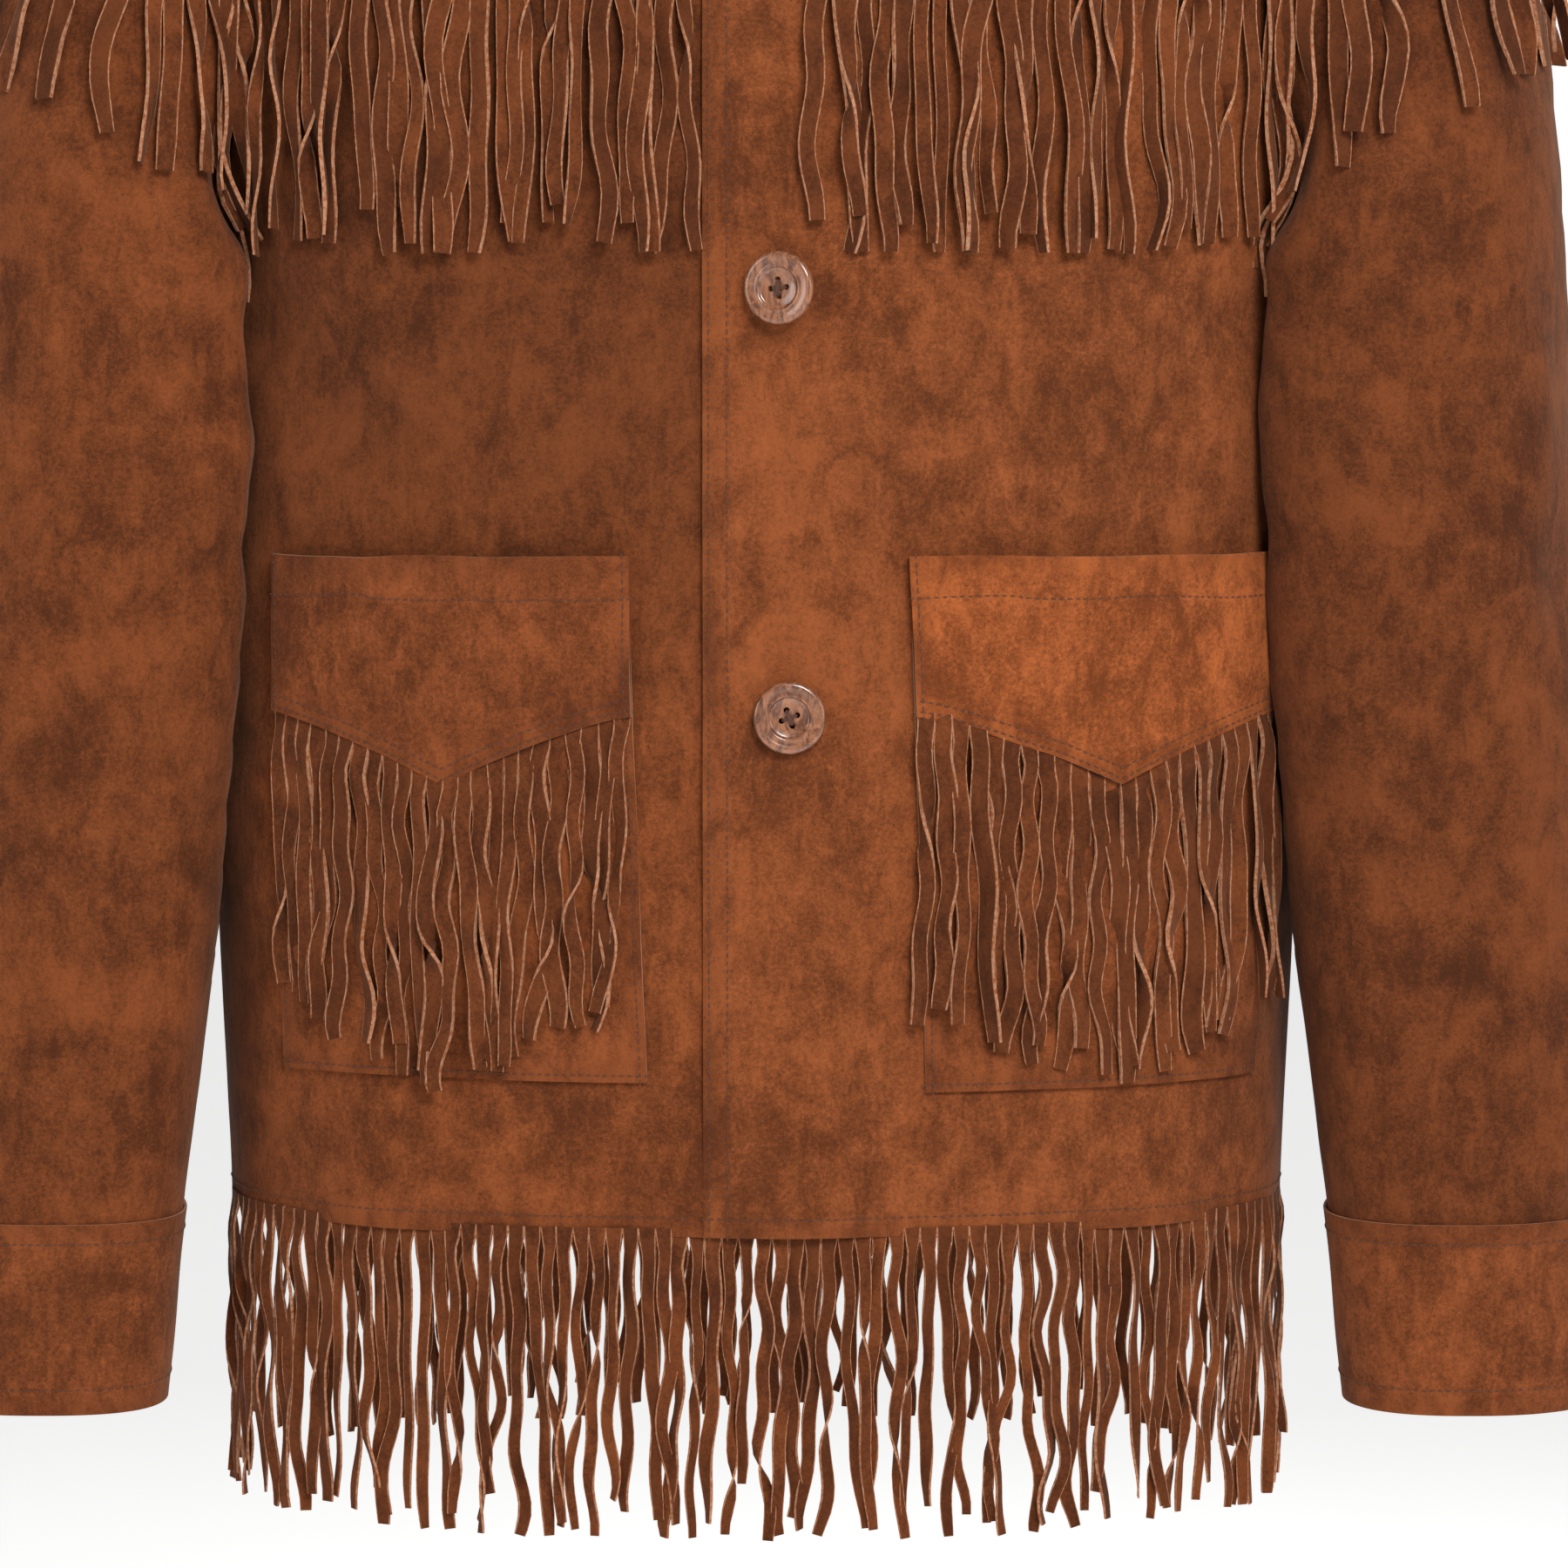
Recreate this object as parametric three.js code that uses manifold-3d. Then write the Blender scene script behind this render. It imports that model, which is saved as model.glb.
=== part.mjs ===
// A hip-length suede jacket with cut leather fringe, standing in the hollow form it has when worn.
// Millimetres, +Z up, the front faces -Y, and +X is the wearer's left. The origin is at the wearer's neck:
// midway between the two shoulder seams' inner ends, and level with them.
//
// Every piece of suede is a wall made from a Sheet, which is a grid of points with outward normals.
// A piece that lies on another is made from that piece's own points, moved out.
import * as THREE from "three";
import { mergeVertices } from "three/addons/utils/BufferGeometryUtils.js";
import Module from "manifold-3d";

const wasm = await Module();
wasm.setup();

// ---------- driving sizes ----------
const SUEDE = 1.6; // one layer
const FRINGE = 2; // the space that a row of strips takes
const GAP = 0.5; // between neighbouring pieces
const HEM_Z = -620;
const CUFF_END_Z = -693;
const CUFF_HEIGHT = 73;
const CUFF_LAP = 8; // how far the cuff laps over the sleeve's end
const YOKE_Z = -103;
const ARMPIT_Z = -250;
const NECK = { halfWidth: 72, frontDrop: 80, backDrop: 9 };
const SHOULDER = { pointX: 226, slope: 0.331, blend: 40, rounding: 80 };
const PLACKET_X = -19; // free edge of the wearer's left front, which laps over the right one
const UNDERLAP_X = 24; // edge of the right front, underneath
const FRONT_LAP = SUEDE + GAP + 0.2; // how far the upper front is lifted along the placket
const YOKE_FRINGE_LENGTH = 146;
const CAP_FRINGE_LENGTH = 150;
const HEM_FRINGE_LENGTH = 108;
const POCKET = { top: -367, sideEdge: -426, point: -452, gape: 2.6, fringe: 114 };
// Where each pocket's corners are: the way round from the middle of the front, at its top and its bottom.
const POCKET_CORNERS = {
  left: { bottom: -566, top: [57, 218], foot: [65, 211] },
  right: { bottom: -562, top: [47, 189], foot: [40, 191] },
};
const BUTTON = { radius: 13.5, thickness: 4.4, wellRadius: 7.7, wellDepth: 1.3, holeRadius: 1.1, holeOffset: 3.1 };
const BUTTONS = [
  { name: "button_low", x: 13, z: -426, tilt: 0 },
  { name: "button_middle", x: 10, z: -268, tilt: 22 },
  { name: "button_top", x: 4.5, z: -110, tilt: 0 },
];

// The torso's level rings: half its width, and how far the front and the back stand from the shoulder seams' plane.
const ROUNDNESS = 2.3; // exponent of the rings, where 2 is an ellipse
const TORSO = [
  { z: -740, halfWidth: 205, front: 121, back: 110 },
  { z: -620, halfWidth: 207, front: 120, back: 108 },
  { z: -500, halfWidth: 212, front: 119, back: 103 },
  { z: -400, halfWidth: 213, front: 118, back: 102 },
  { z: -300, halfWidth: 213, front: 119, back: 108 },
  { z: -250, halfWidth: 214, front: 120, back: 113 },
  { z: -180, halfWidth: 225, front: 116, back: 117 },
  { z: -103, halfWidth: 237, front: 99, back: 110 },
  { z: -50, halfWidth: 246, front: 84, back: 94 },
  { z: 0, halfWidth: 252, front: 68, back: 78 },
];
// The armhole dips in from the straight line between the armpit and the shoulder point.
const ARMHOLE = { frontDip: 28, backDip: 20, power: 0.7, gap: 1.1 };

// The hanging sleeve's level rings: where its inner and outer sides are, its middle and half its depth front to back.
const SLEEVE_ROUNDNESS = 2.45;
const SLEEVE = [
  { z: -262, inner: 188, outer: 314, middleY: -20, halfDepth: 76 },
  { z: -350, inner: 190, outer: 320, middleY: -22, halfDepth: 74 },
  { z: -430, inner: 198, outer: 325, middleY: -26, halfDepth: 70 },
  { z: -500, inner: 207, outer: 328, middleY: -30, halfDepth: 64 },
  { z: -590, inner: 219, outer: 330, middleY: -35, halfDepth: 57 },
  { z: -622, inner: 223, outer: 330, middleY: -37, halfDepth: 54 },
  { z: -693, inner: 230, outer: 330, middleY: -40, halfDepth: 50 },
];
const SLEEVE_LEAN = 0.17; // how far each level leans in towards the front, per millimetre of depth
const SLEEVE_CLEARANCE = 8; // sideways, from the body that the sleeve hangs against
const SLEEVE_COLUMNS = 20;
const CAP_ROWS = 5; // rings between the armhole and the first level ring

const COLOURS = { suede: 0x7d4326, fringe: 0x85492a, button: 0xa8683f };

// ---------- small maths ----------
const lerp = (a, b, t) => a + (b - a) * t;
const clamp01 = (t) => Math.min(1, Math.max(0, t));
const smooth = (t) => clamp01(t) ** 2 * (3 - 2 * clamp01(t));
const vec = (x, y, z) => new THREE.Vector3(x, y, z);
const steps = (count, from = 0, to = 1) => Array.from({ length: count + 1 }, (_, i) => lerp(from, to, i / count));

/** A smooth curve through one column of a table whose rows are sorted by z. */
function profile(table, column) {
  const rows = [...table].sort((a, b) => a.z - b.z);
  const slope = (i) => {
    const [low, high] = [Math.max(0, i - 1), Math.min(rows.length - 1, i + 1)];
    return (rows[high][column] - rows[low][column]) / (rows[high].z - rows[low].z);
  };
  return (z) => {
    const at = Math.min(Math.max(z, rows[0].z), rows.at(-1).z);
    const i = Math.min(rows.length - 2, rows.findLastIndex((row) => row.z <= at));
    const width = rows[i + 1].z - rows[i].z;
    const t = (at - rows[i].z) / width;
    return (
      rows[i][column] * (1 + 2 * t) * (1 - t) ** 2 +
      rows[i + 1][column] * t * t * (3 - 2 * t) +
      width * t * (1 - t) * (slope(i) * (1 - t) - slope(i + 1) * t)
    );
  };
}

// ---------- the torso's surface ----------
const halfWidth = profile(TORSO, "halfWidth");
const frontDepth = profile(TORSO, "front");
const backDepth = profile(TORSO, "back");

/** Height of the shoulder seam at x. It passes through the neck point at z = 0. */
const shoulderZ = (x) =>
  SHOULDER.slope * (Math.hypot(NECK.halfWidth, SHOULDER.blend) - Math.hypot(x, SHOULDER.blend));

/** 0 on the shoulder seam, rising to 1 one rounding below it: the shoulders are half-ellipses in section. */
function shoulderRounding(x, z) {
  const below = clamp01((shoulderZ(x) - z) / SHOULDER.rounding);
  return Math.sqrt(1 - (1 - below) ** 2);
}

/** A point of the torso at height z, at an angle of 0 at the side, pi/2 in the middle and pi at the other side. */
function torsoPoint(face, angle, z) {
  const power = 2 / ROUNDNESS;
  const x = halfWidth(z) * Math.sign(Math.cos(angle)) * Math.abs(Math.cos(angle)) ** power;
  const depth = face === "front" ? -frontDepth(z) : backDepth(z);
  return vec(x, depth * Math.abs(Math.sin(angle)) ** power * shoulderRounding(x, z), z);
}

/** The angle at which the ring at height z reaches x. */
const angleOfX = (x, z) =>
  Math.acos(Math.sign(x) * Math.min(1, Math.abs(x) / halfWidth(z)) ** (ROUNDNESS / 2));
const torsoAtX = (face, x, z) => torsoPoint(face, angleOfX(x, z), z);

/** The outward normal at x and z, from the slopes of the surface seen as a depth over them. */
function torsoNormal(face, x, z) {
  const step = 0.5;
  const out = face === "front" ? -1 : 1;
  const slopeX = torsoAtX(face, x + step, z).y - torsoAtX(face, x - step, z).y;
  const slopeZ = torsoAtX(face, x, z + step).y - torsoAtX(face, x, z - step).y;
  return vec(-out * slopeX, out * 2 * step, -out * slopeZ).normalize();
}

/** The angle that lies a given girth, in millimetres, from the middle of the front at waist height. */
function angleOfGirth(girth) {
  const waist = -400;
  const angles = steps(400, Math.PI / 2, 0);
  let walked = 0;
  for (let i = 1; i < angles.length; i++) {
    const step = torsoPoint("front", angles[i - 1], waist).distanceTo(torsoPoint("front", angles[i], waist));
    if (walked + step >= girth) return lerp(angles[i - 1], angles[i], (girth - walked) / step);
    walked += step;
  }
  return 0;
}

/** Where the armhole's edge is at height z. */
function armholeX(face, z) {
  const t = clamp01((z - ARMPIT_Z) / (shoulderZ(SHOULDER.pointX) - ARMPIT_Z));
  const dip = face === "front" ? ARMHOLE.frontDip : ARMHOLE.backDip;
  return lerp(halfWidth(ARMPIT_Z), SHOULDER.pointX, t) - dip * Math.sin(Math.PI * t) ** ARMHOLE.power;
}
const edgeAngle = (face, z) => (z <= ARMPIT_Z ? 0 : angleOfX(armholeX(face, z), z));

// ---------- sheets and walls ----------
/** A grid of surface points, row by row, with outward normals. A loop's last column joins its first. */
class Sheet {
  constructor(points, { loop = false, flip = false } = {}) {
    this.points = points;
    this.loop = loop;
    this.flip = flip;
    this.rows = points.length;
    this.columns = points[0].length;
    this.normals = points.map((row, r) => row.map((_, c) => this.normalAt(r, c)));
  }

  point(row, column) {
    const c = this.loop
      ? (column + this.columns) % this.columns
      : Math.min(this.columns - 1, Math.max(0, column));
    return this.points[Math.min(this.rows - 1, Math.max(0, row))][c];
  }

  normalAt(row, column) {
    const across = this.point(row, column + 1).clone().sub(this.point(row, column - 1));
    const up = this.point(row + 1, column).clone().sub(this.point(row - 1, column));
    return across.cross(up).normalize().multiplyScalar(this.flip ? -1 : 1);
  }

  /** Turns the normals along a seam into the seam's own plane, y = 0, so that the pieces it joins stay apart. */
  squareTo(seam) {
    this.points.forEach((row, r) =>
      row.forEach((p, c) => {
        if (seam(r, c)) this.normals[r][c].setY(0).normalize();
      }),
    );
    return this;
  }

  /** The point and normal at a fractional row and column. */
  at(row, column) {
    const whole = this.loop ? ((column % this.columns) + this.columns) % this.columns : column;
    const r = Math.min(this.rows - 2, Math.floor(row));
    const c = this.loop ? Math.floor(whole) : Math.min(this.columns - 2, Math.floor(whole));
    const next = (c + 1) % this.columns;
    const mix = (grid) => {
      const low = grid[r][c].clone().lerp(grid[r][next], whole - c);
      return low.lerp(grid[r + 1][c].clone().lerp(grid[r + 1][next], whole - c), row - r);
    };
    return { point: mix(this.points), normal: mix(this.normals).normalize() };
  }

  /** A new sheet on this one. place(i, j) gives a fractional row and column, and lift how far it is moved out. */
  overlay(rows, columns, place) {
    const points = steps(rows, 0, rows).map((i) =>
      steps(columns, 0, columns).map((j) => {
        const { row, column, lift } = place(Math.round(i), Math.round(j));
        const { point, normal } = this.at(row, column);
        return point.addScaledVector(normal, lift);
      }),
    );
    return new Sheet(points, { flip: this.flip });
  }
}

/** The closed geometry of a wall whose faces lie `outer` and `inner` millimetres out from a sheet. */
function wall(sheet, outer, inner) {
  const { rows, columns, loop, flip } = sheet;
  const positions = [];
  for (const out of [outer, inner])
    sheet.points.forEach((row, r) =>
      row.forEach((p, c) => positions.push(...p.clone().addScaledVector(sheet.normals[r][c], out).toArray())),
    );
  const index = (side, r, c) => side * rows * columns + r * columns + (c % columns);
  const faces = [];
  const quad = (a, b, c, d) => faces.push(a, b, c, a, c, d);
  const across = loop ? columns : columns - 1;
  for (let r = 0; r < rows - 1; r++)
    for (let c = 0; c < across; c++) {
      quad(index(0, r, c), index(0, r, c + 1), index(0, r + 1, c + 1), index(0, r + 1, c));
      quad(index(1, r, c), index(1, r + 1, c), index(1, r + 1, c + 1), index(1, r, c + 1));
    }
  for (let c = 0; c < across; c++) {
    quad(index(1, 0, c), index(1, 0, c + 1), index(0, 0, c + 1), index(0, 0, c));
    const top = rows - 1;
    quad(index(0, top, c), index(0, top, c + 1), index(1, top, c + 1), index(1, top, c));
  }
  if (!loop)
    for (let r = 0; r < rows - 1; r++) {
      const end = columns - 1;
      quad(index(0, r, 0), index(0, r + 1, 0), index(1, r + 1, 0), index(1, r, 0));
      quad(index(0, r, end), index(1, r, end), index(1, r + 1, end), index(0, r + 1, end));
    }
  if (flip) for (let i = 0; i < faces.length; i += 3) [faces[i + 1], faces[i + 2]] = [faces[i + 2], faces[i + 1]];
  const geometry = new THREE.BufferGeometry();
  geometry.setAttribute("position", new THREE.Float32BufferAttribute(positions, 3));
  geometry.setIndex(faces);
  geometry.computeVertexNormals();
  return geometry;
}

const jacket = new THREE.Group();
const material = (colour, roughness) => new THREE.MeshStandardMaterial({ color: colour, roughness, metalness: 0 });
const finishes = {
  suede: material(COLOURS.suede, 0.95),
  fringe: material(COLOURS.fringe, 0.92),
  button: material(COLOURS.button, 0.3),
};
function add(name, geometry, finish) {
  const mesh = new THREE.Mesh(geometry, finishes[finish]);
  mesh.name = name;
  jacket.add(mesh);
  return mesh;
}

/** Moves a point to one side of the jacket: side is 1 for the wearer's left and -1 for the right. */
const onSide = (point, side) => vec(point.x * side, point.y, point.z);

// ---------- fronts ----------
const SIDES = { left: 1, right: -1 };
const POCKET_COLUMN = 3; // the front's column on which the pocket begins
const POCKET_COLUMNS = 5;
const POCKET_ROWS = 5;
/** The heights of a front panel's rows. The pocket's rows are even. */
const panelRows = (name) => [
  HEM_Z, -592,
  ...steps(POCKET_ROWS, POCKET_CORNERS[name].bottom, POCKET.top),
  -310, ARMPIT_Z, -243, -228, -200, -155, YOKE_Z,
];
const GIRTH_AT_SIDE = 268; // from the middle of the front to the side seam
const MIDDLE_X = { right: [-UNDERLAP_X, -4, 20.5], left: [PLACKET_X, 0, 18] };

/** How far the upper front stands off the lower one, dying away beyond the overlap. */
const lapLift = (side, x) => (side === 1 ? FRONT_LAP * (1 - smooth((x - 28) / 50)) : 0);

/** The angles of a front panel's columns at height z: even ones over the pocket, then even ones to the side seam. */
function frontAngles(name, z) {
  const { bottom, top, foot } = POCKET_CORNERS[name];
  const t = clamp01((z - bottom) / (POCKET.top - bottom));
  const [from, to] = [0, 1].map((end) => lerp(foot[end], top[end], t));
  const girths = [...steps(POCKET_COLUMNS, from, to), ...steps(3, to, GIRTH_AT_SIDE).slice(1)];
  return girths.map((g) => (g >= GIRTH_AT_SIDE ? 0 : angleOfGirth(g)));
}

function frontSheet(name) {
  const side = SIDES[name];
  const points = panelRows(name).map((z) => {
    const edge = edgeAngle("front", z);
    const squeeze = (Math.PI / 2 - edge) / (Math.PI / 2);
    const inMiddle = MIDDLE_X[name].map((x) => torsoAtX("front", x, z));
    const toSide = frontAngles(name, z).map((a) =>
      torsoPoint("front", Math.PI / 2 - (Math.PI / 2 - a) * squeeze, z),
    );
    return [...inMiddle, ...toSide].map((p) => onSide(p, side));
  });
  const sheet = new Sheet(points, { flip: side < 0 }).squareTo((r, c) => c === points[0].length - 1);
  sheet.points.forEach((row, r) =>
    row.forEach((p, c) => p.addScaledVector(sheet.normals[r][c], lapLift(side, p.x))),
  );
  return sheet;
}

const rowOfZ = (rows, z) => {
  const i = Math.min(rows.length - 2, rows.findLastIndex((row) => row <= z));
  return i + (z - rows[i]) / (rows[i + 1] - rows[i]);
};

/** The fractional column at which a row of a sheet reaches x. */
function columnOfX(sheet, row, x) {
  const xs = sheet.points[0].map((_, c) => sheet.at(row, c).point.x);
  const from = xs.slice(0, -1).findIndex((value, c) => (value - x) * (xs[c + 1] - x) <= 0);
  return from + (x - xs[from]) / (xs[from + 1] - xs[from]);
}

const fronts = { left: frontSheet("left"), right: frontSheet("right") };
for (const name of Object.keys(SIDES)) add(`front_${name}`, wall(fronts[name], 0, -SUEDE), "suede");

// ---------- patch pockets, their pointed yokes and their fringe ----------
/** The pocket's mouth stands off the front, most in its middle. */
const gape = (z, across) =>
  POCKET.gape * smooth((z - POCKET.top + 55) / 55) * Math.sqrt(Math.sin(Math.PI * clamp01(across)));

/** The yoke's lower edge: shallow at the sides, then steeper to the point. */
const pocketEdgeZ = (across) =>
  lerp(POCKET.sideEdge, POCKET.point, (1 - Math.abs(2 * across - 1)) ** 1.35);

function pocketLayer(name, rows, halves, heights, lift) {
  const columns = POCKET_COLUMNS * halves;
  return fronts[name].overlay(rows, columns, (i, j) => {
    const across = j / columns;
    const [low, high] = heights(across);
    const z = lerp(low, high, i / rows);
    const row = rowOfZ(panelRows(name), z);
    return { row, column: POCKET_COLUMN + j / halves, lift: lift + gape(z, across) };
  });
}

for (const name of Object.keys(SIDES)) {
  const patch = pocketLayer(name, POCKET_ROWS, 1, () => [POCKET_CORNERS[name].bottom, POCKET.top], GAP);
  add(`pocket_${name}`, wall(patch, SUEDE, 0), "suede");
  const onPatch = 2 * GAP + SUEDE;
  const yoke = pocketLayer(name, 3, 2, (across) => [pocketEdgeZ(across) + GAP, POCKET.top], onPatch);
  add(`pocket_yoke_${name}`, wall(yoke, SUEDE, 0), "suede");
  const fringe = pocketLayer(
    name, 4, 2, (across) => [pocketEdgeZ(across) - POCKET.fringe, pocketEdgeZ(across)], onPatch,
  );
  add(`pocket_fringe_${name}`, wall(fringe, FRINGE, 0), "fringe");
}

// ---------- back ----------
const BACK_ROWS = [HEM_Z, -540, -460, -380, -310, ARMPIT_Z, -243, -228, -200, -155, YOKE_Z];
const BACK_COLUMNS = 16;
const backSheet = new Sheet(
  BACK_ROWS.map((z) =>
    steps(BACK_COLUMNS, edgeAngle("back", z), Math.PI - edgeAngle("back", z)).map((a) =>
      torsoPoint("back", a, z),
    ),
  ),
);
// The side seams' gap is taken from the back.
backSheet.points.forEach((row) => [row[0], row.at(-1)].forEach((p) => (p.y += p.y < 1 ? GAP : 0)));
backSheet.squareTo((r, c) => BACK_ROWS[r] <= ARMPIT_Z && c % BACK_COLUMNS === 0);
add("back", wall(backSheet, 0, -SUEDE), "suede");

// ---------- fringe from the yoke seams, front and back ----------
const YOKE_FRINGE_ROWS = 5;
const CHEST_FRINGE = { left: [18.6, 188], right: [20.5, 188] }; // from the placket to the armhole, in x
const BACK_FRINGE_X = 189;

/** A level-topped fringe that hangs down a sheet, straight, between two values of x. */
function hangingFringe(sheet, rowHeights, columns, fromX, toX, lift) {
  return sheet.overlay(YOKE_FRINGE_ROWS, columns, (i, j) => {
    const z = YOKE_Z - GAP - YOKE_FRINGE_LENGTH * (1 - i / YOKE_FRINGE_ROWS);
    const row = rowOfZ(rowHeights, z);
    return { row, column: columnOfX(sheet, row, lerp(fromX, toX, j / columns)), lift };
  });
}

for (const [name, side] of Object.entries(SIDES)) {
  const [from, to] = CHEST_FRINGE[name].map((x) => x * side);
  const fringe = hangingFringe(fronts[name], panelRows(name), 9, from, to, 1.8);
  add(`chest_fringe_${name}`, wall(fringe, FRINGE, 0), "fringe");
}
const backFringe = hangingFringe(backSheet, BACK_ROWS, 14, BACK_FRINGE_X, -BACK_FRINGE_X, 1.8);
add("back_fringe", wall(backFringe, FRINGE, 0), "fringe");

// ---------- yokes ----------
/** A point inside four edges, each a function of 0 to 1 that gives [x, z]. */
function patchInside(bottom, top, start, end) {
  const corner = { a: bottom(0), b: bottom(1), c: top(0), d: top(1) };
  return (u, v) =>
    [0, 1].map(
      (k) =>
        (1 - v) * bottom(u)[k] + v * top(u)[k] + (1 - u) * start(v)[k] + u * end(v)[k] -
        (1 - u) * (1 - v) * corner.a[k] - u * (1 - v) * corner.b[k] -
        (1 - u) * v * corner.c[k] - u * v * corner.d[k],
    );
}

/** The neckline at a share of the way from the middle to the shoulder seam, as [x, z]. */
const neckline = (drop, share) => [
  NECK.halfWidth * Math.sin((Math.PI / 2) * share),
  -drop * Math.cos((Math.PI / 2) * share),
];
const armholeEdge = (face, v) => {
  const z = lerp(YOKE_Z + GAP, shoulderZ(SHOULDER.pointX), v);
  return [armholeX(face, z), z];
};
const shoulderSeam = (share) => {
  const x = lerp(NECK.halfWidth, SHOULDER.pointX, share);
  return [x, shoulderZ(x)];
};
/** Packs the rows towards the shoulder, where the surface turns over. */
const towardsShoulder = (v) => 1 - (1 - v) ** 1.7;

for (const [name, side] of Object.entries(SIDES)) {
  const edgeX = name === "left" ? PLACKET_X : -UNDERLAP_X;
  const neckShare = Math.asin(edgeX / NECK.halfWidth) / (Math.PI / 2);
  const straight = 0.2; // share of the front edge that is below the neckline
  const low = YOKE_Z + GAP;
  const neckStart = neckline(NECK.frontDrop, neckShare);
  const inside = patchInside(
    (u) => [lerp(edgeX, armholeX("front", low), u), low],
    shoulderSeam,
    (v) =>
      v < straight
        ? [edgeX, lerp(low, neckStart[1], v / straight)]
        : neckline(NECK.frontDrop, lerp(neckShare, 1, (v - straight) / (1 - straight))),
    (v) => armholeEdge("front", v),
  );
  const [rows, columns] = [6, 8];
  const points = steps(rows).map((v) =>
    steps(columns).map((u) => {
      const p = torsoAtX("front", ...inside(u, towardsShoulder(v)));
      if (v === 1) p.y = -GAP / 2;
      return onSide(p, side);
    }),
  );
  const yoke = new Sheet(points, { flip: side < 0 }).squareTo((r) => r === rows);
  yoke.points.forEach((row, r) =>
    row.forEach((p, c) => p.addScaledVector(yoke.normals[r][c], r < rows ? lapLift(side, p.x) : 0)),
  );
  add(`yoke_${name}`, wall(yoke, 0, -SUEDE), "suede");
}

const BACK_YOKE = { shoulder: 4, neck: 8, rows: 6 }; // columns along each shoulder seam and the neckline
const backYokeColumns = 2 * BACK_YOKE.shoulder + BACK_YOKE.neck;
/** The back yoke's top edge, from the left shoulder point over the neckline to the right one. */
function backYokeTop(u) {
  const column = u * backYokeColumns;
  if (column <= BACK_YOKE.shoulder) return shoulderSeam(1 - column / BACK_YOKE.shoulder);
  if (column < BACK_YOKE.shoulder + BACK_YOKE.neck) {
    const share = 1 - (2 * (column - BACK_YOKE.shoulder)) / BACK_YOKE.neck;
    const [x, z] = neckline(NECK.backDrop, Math.abs(share));
    return [Math.sign(share) * x, z];
  }
  const [x, z] = shoulderSeam((column - BACK_YOKE.shoulder - BACK_YOKE.neck) / BACK_YOKE.shoulder);
  return [-x, z];
}
const onShoulder = (u) => Math.abs(u - 0.5) * backYokeColumns >= BACK_YOKE.neck / 2;
const insideBackYoke = patchInside(
  (u) => [armholeX("back", YOKE_Z + GAP) * (1 - 2 * u), YOKE_Z + GAP],
  backYokeTop,
  (v) => armholeEdge("back", v),
  (v) => [-armholeEdge("back", v)[0], armholeEdge("back", v)[1]],
);
const backYoke = new Sheet(
  steps(BACK_YOKE.rows).map((v) =>
    steps(backYokeColumns).map((u) => {
      const p = torsoAtX("back", ...insideBackYoke(u, towardsShoulder(v)));
      if (v === 1 && onShoulder(u)) p.y = GAP / 2;
      return p;
    }),
  ),
).squareTo((r, c) => r === BACK_YOKE.rows && onShoulder(c / backYokeColumns));
add("yoke_back", wall(backYoke, 0, -SUEDE), "suede");

// ---------- sleeves ----------
const sleeveInner = profile(SLEEVE, "inner");
const sleeveOuter = profile(SLEEVE, "outer");
const sleeveMiddleY = profile(SLEEVE, "middleY");
const sleeveHalfDepth = profile(SLEEVE, "halfDepth");

/** Moves a point out sideways until it clears the body, if it is below the armpit. */
function clearOfBody(p) {
  const depth = p.y < 0 ? frontDepth(p.z) : backDepth(p.z);
  const reach = Math.min(1, Math.abs(p.y) / depth);
  const bodyX = halfWidth(p.z) * (1 - reach ** ROUNDNESS) ** (1 / ROUNDNESS);
  if (reach < 1 && p.z < ARMPIT_Z) p.x = Math.max(p.x, bodyX + SLEEVE_CLEARANCE);
  return p;
}

/** A point of the hanging sleeve's ring at height z. Turn 0 is outside, 1/4 front, 1/2 inside and 3/4 back. */
function sleeveRing(turn, z) {
  const power = 2 / SLEEVE_ROUNDNESS;
  const [c, s] = [Math.cos(2 * Math.PI * turn), Math.sin(2 * Math.PI * turn)];
  const [inner, outer] = [sleeveInner(z), sleeveOuter(z)];
  const across = ((outer - inner) / 2) * Math.sign(c) * Math.abs(c) ** power;
  const forward = sleeveHalfDepth(z) * Math.sign(s) * Math.abs(s) ** power;
  return clearOfBody(vec((inner + outer) / 2 + across - SLEEVE_LEAN * forward, sleeveMiddleY(z) - forward, z));
}

/** The armhole's points: from the shoulder point down the front to the armpit, and up the back. */
const armholeRing = (() => {
  const top = shoulderZ(SHOULDER.pointX);
  const half = (face) => {
    const fine = steps(200, top, ARMPIT_Z).map((z) => torsoAtX(face, armholeX(face, z), z));
    const walked = fine.reduce((sum, p, i) => [...sum, i ? sum[i - 1] + p.distanceTo(fine[i - 1]) : 0], []);
    return (share) => {
      const target = share * walked.at(-1);
      const i = Math.min(fine.length - 2, walked.findLastIndex((w) => w <= target));
      return fine[i].clone().lerp(fine[i + 1], (target - walked[i]) / (walked[i + 1] - walked[i]));
    };
  };
  const [front, back] = [half("front"), half("back")];
  return (turn) => (turn <= 0.5 ? front(2 * turn) : back(2 - 2 * turn));
})();

/** The sleeve's cap: from the armhole, out over the arm and down to the first level ring. */
function capPoint(turn, t) {
  const from = armholeRing(turn);
  const to = sleeveRing(turn, SLEEVE[0].z);
  const reach = from.distanceTo(to);
  const leave = vec(0.88, (0.5 * from.y) / 75, -0.38).normalize();
  from.addScaledVector(leave, ARMHOLE.gap);
  const curve = new THREE.CubicBezierCurve3(
    from,
    from.clone().addScaledVector(leave, 0.36 * reach),
    to.clone().add(vec(-0.02 * reach, 0, 0.42 * reach)),
    to,
  );
  return curve.getPoint(t);
}

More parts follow.
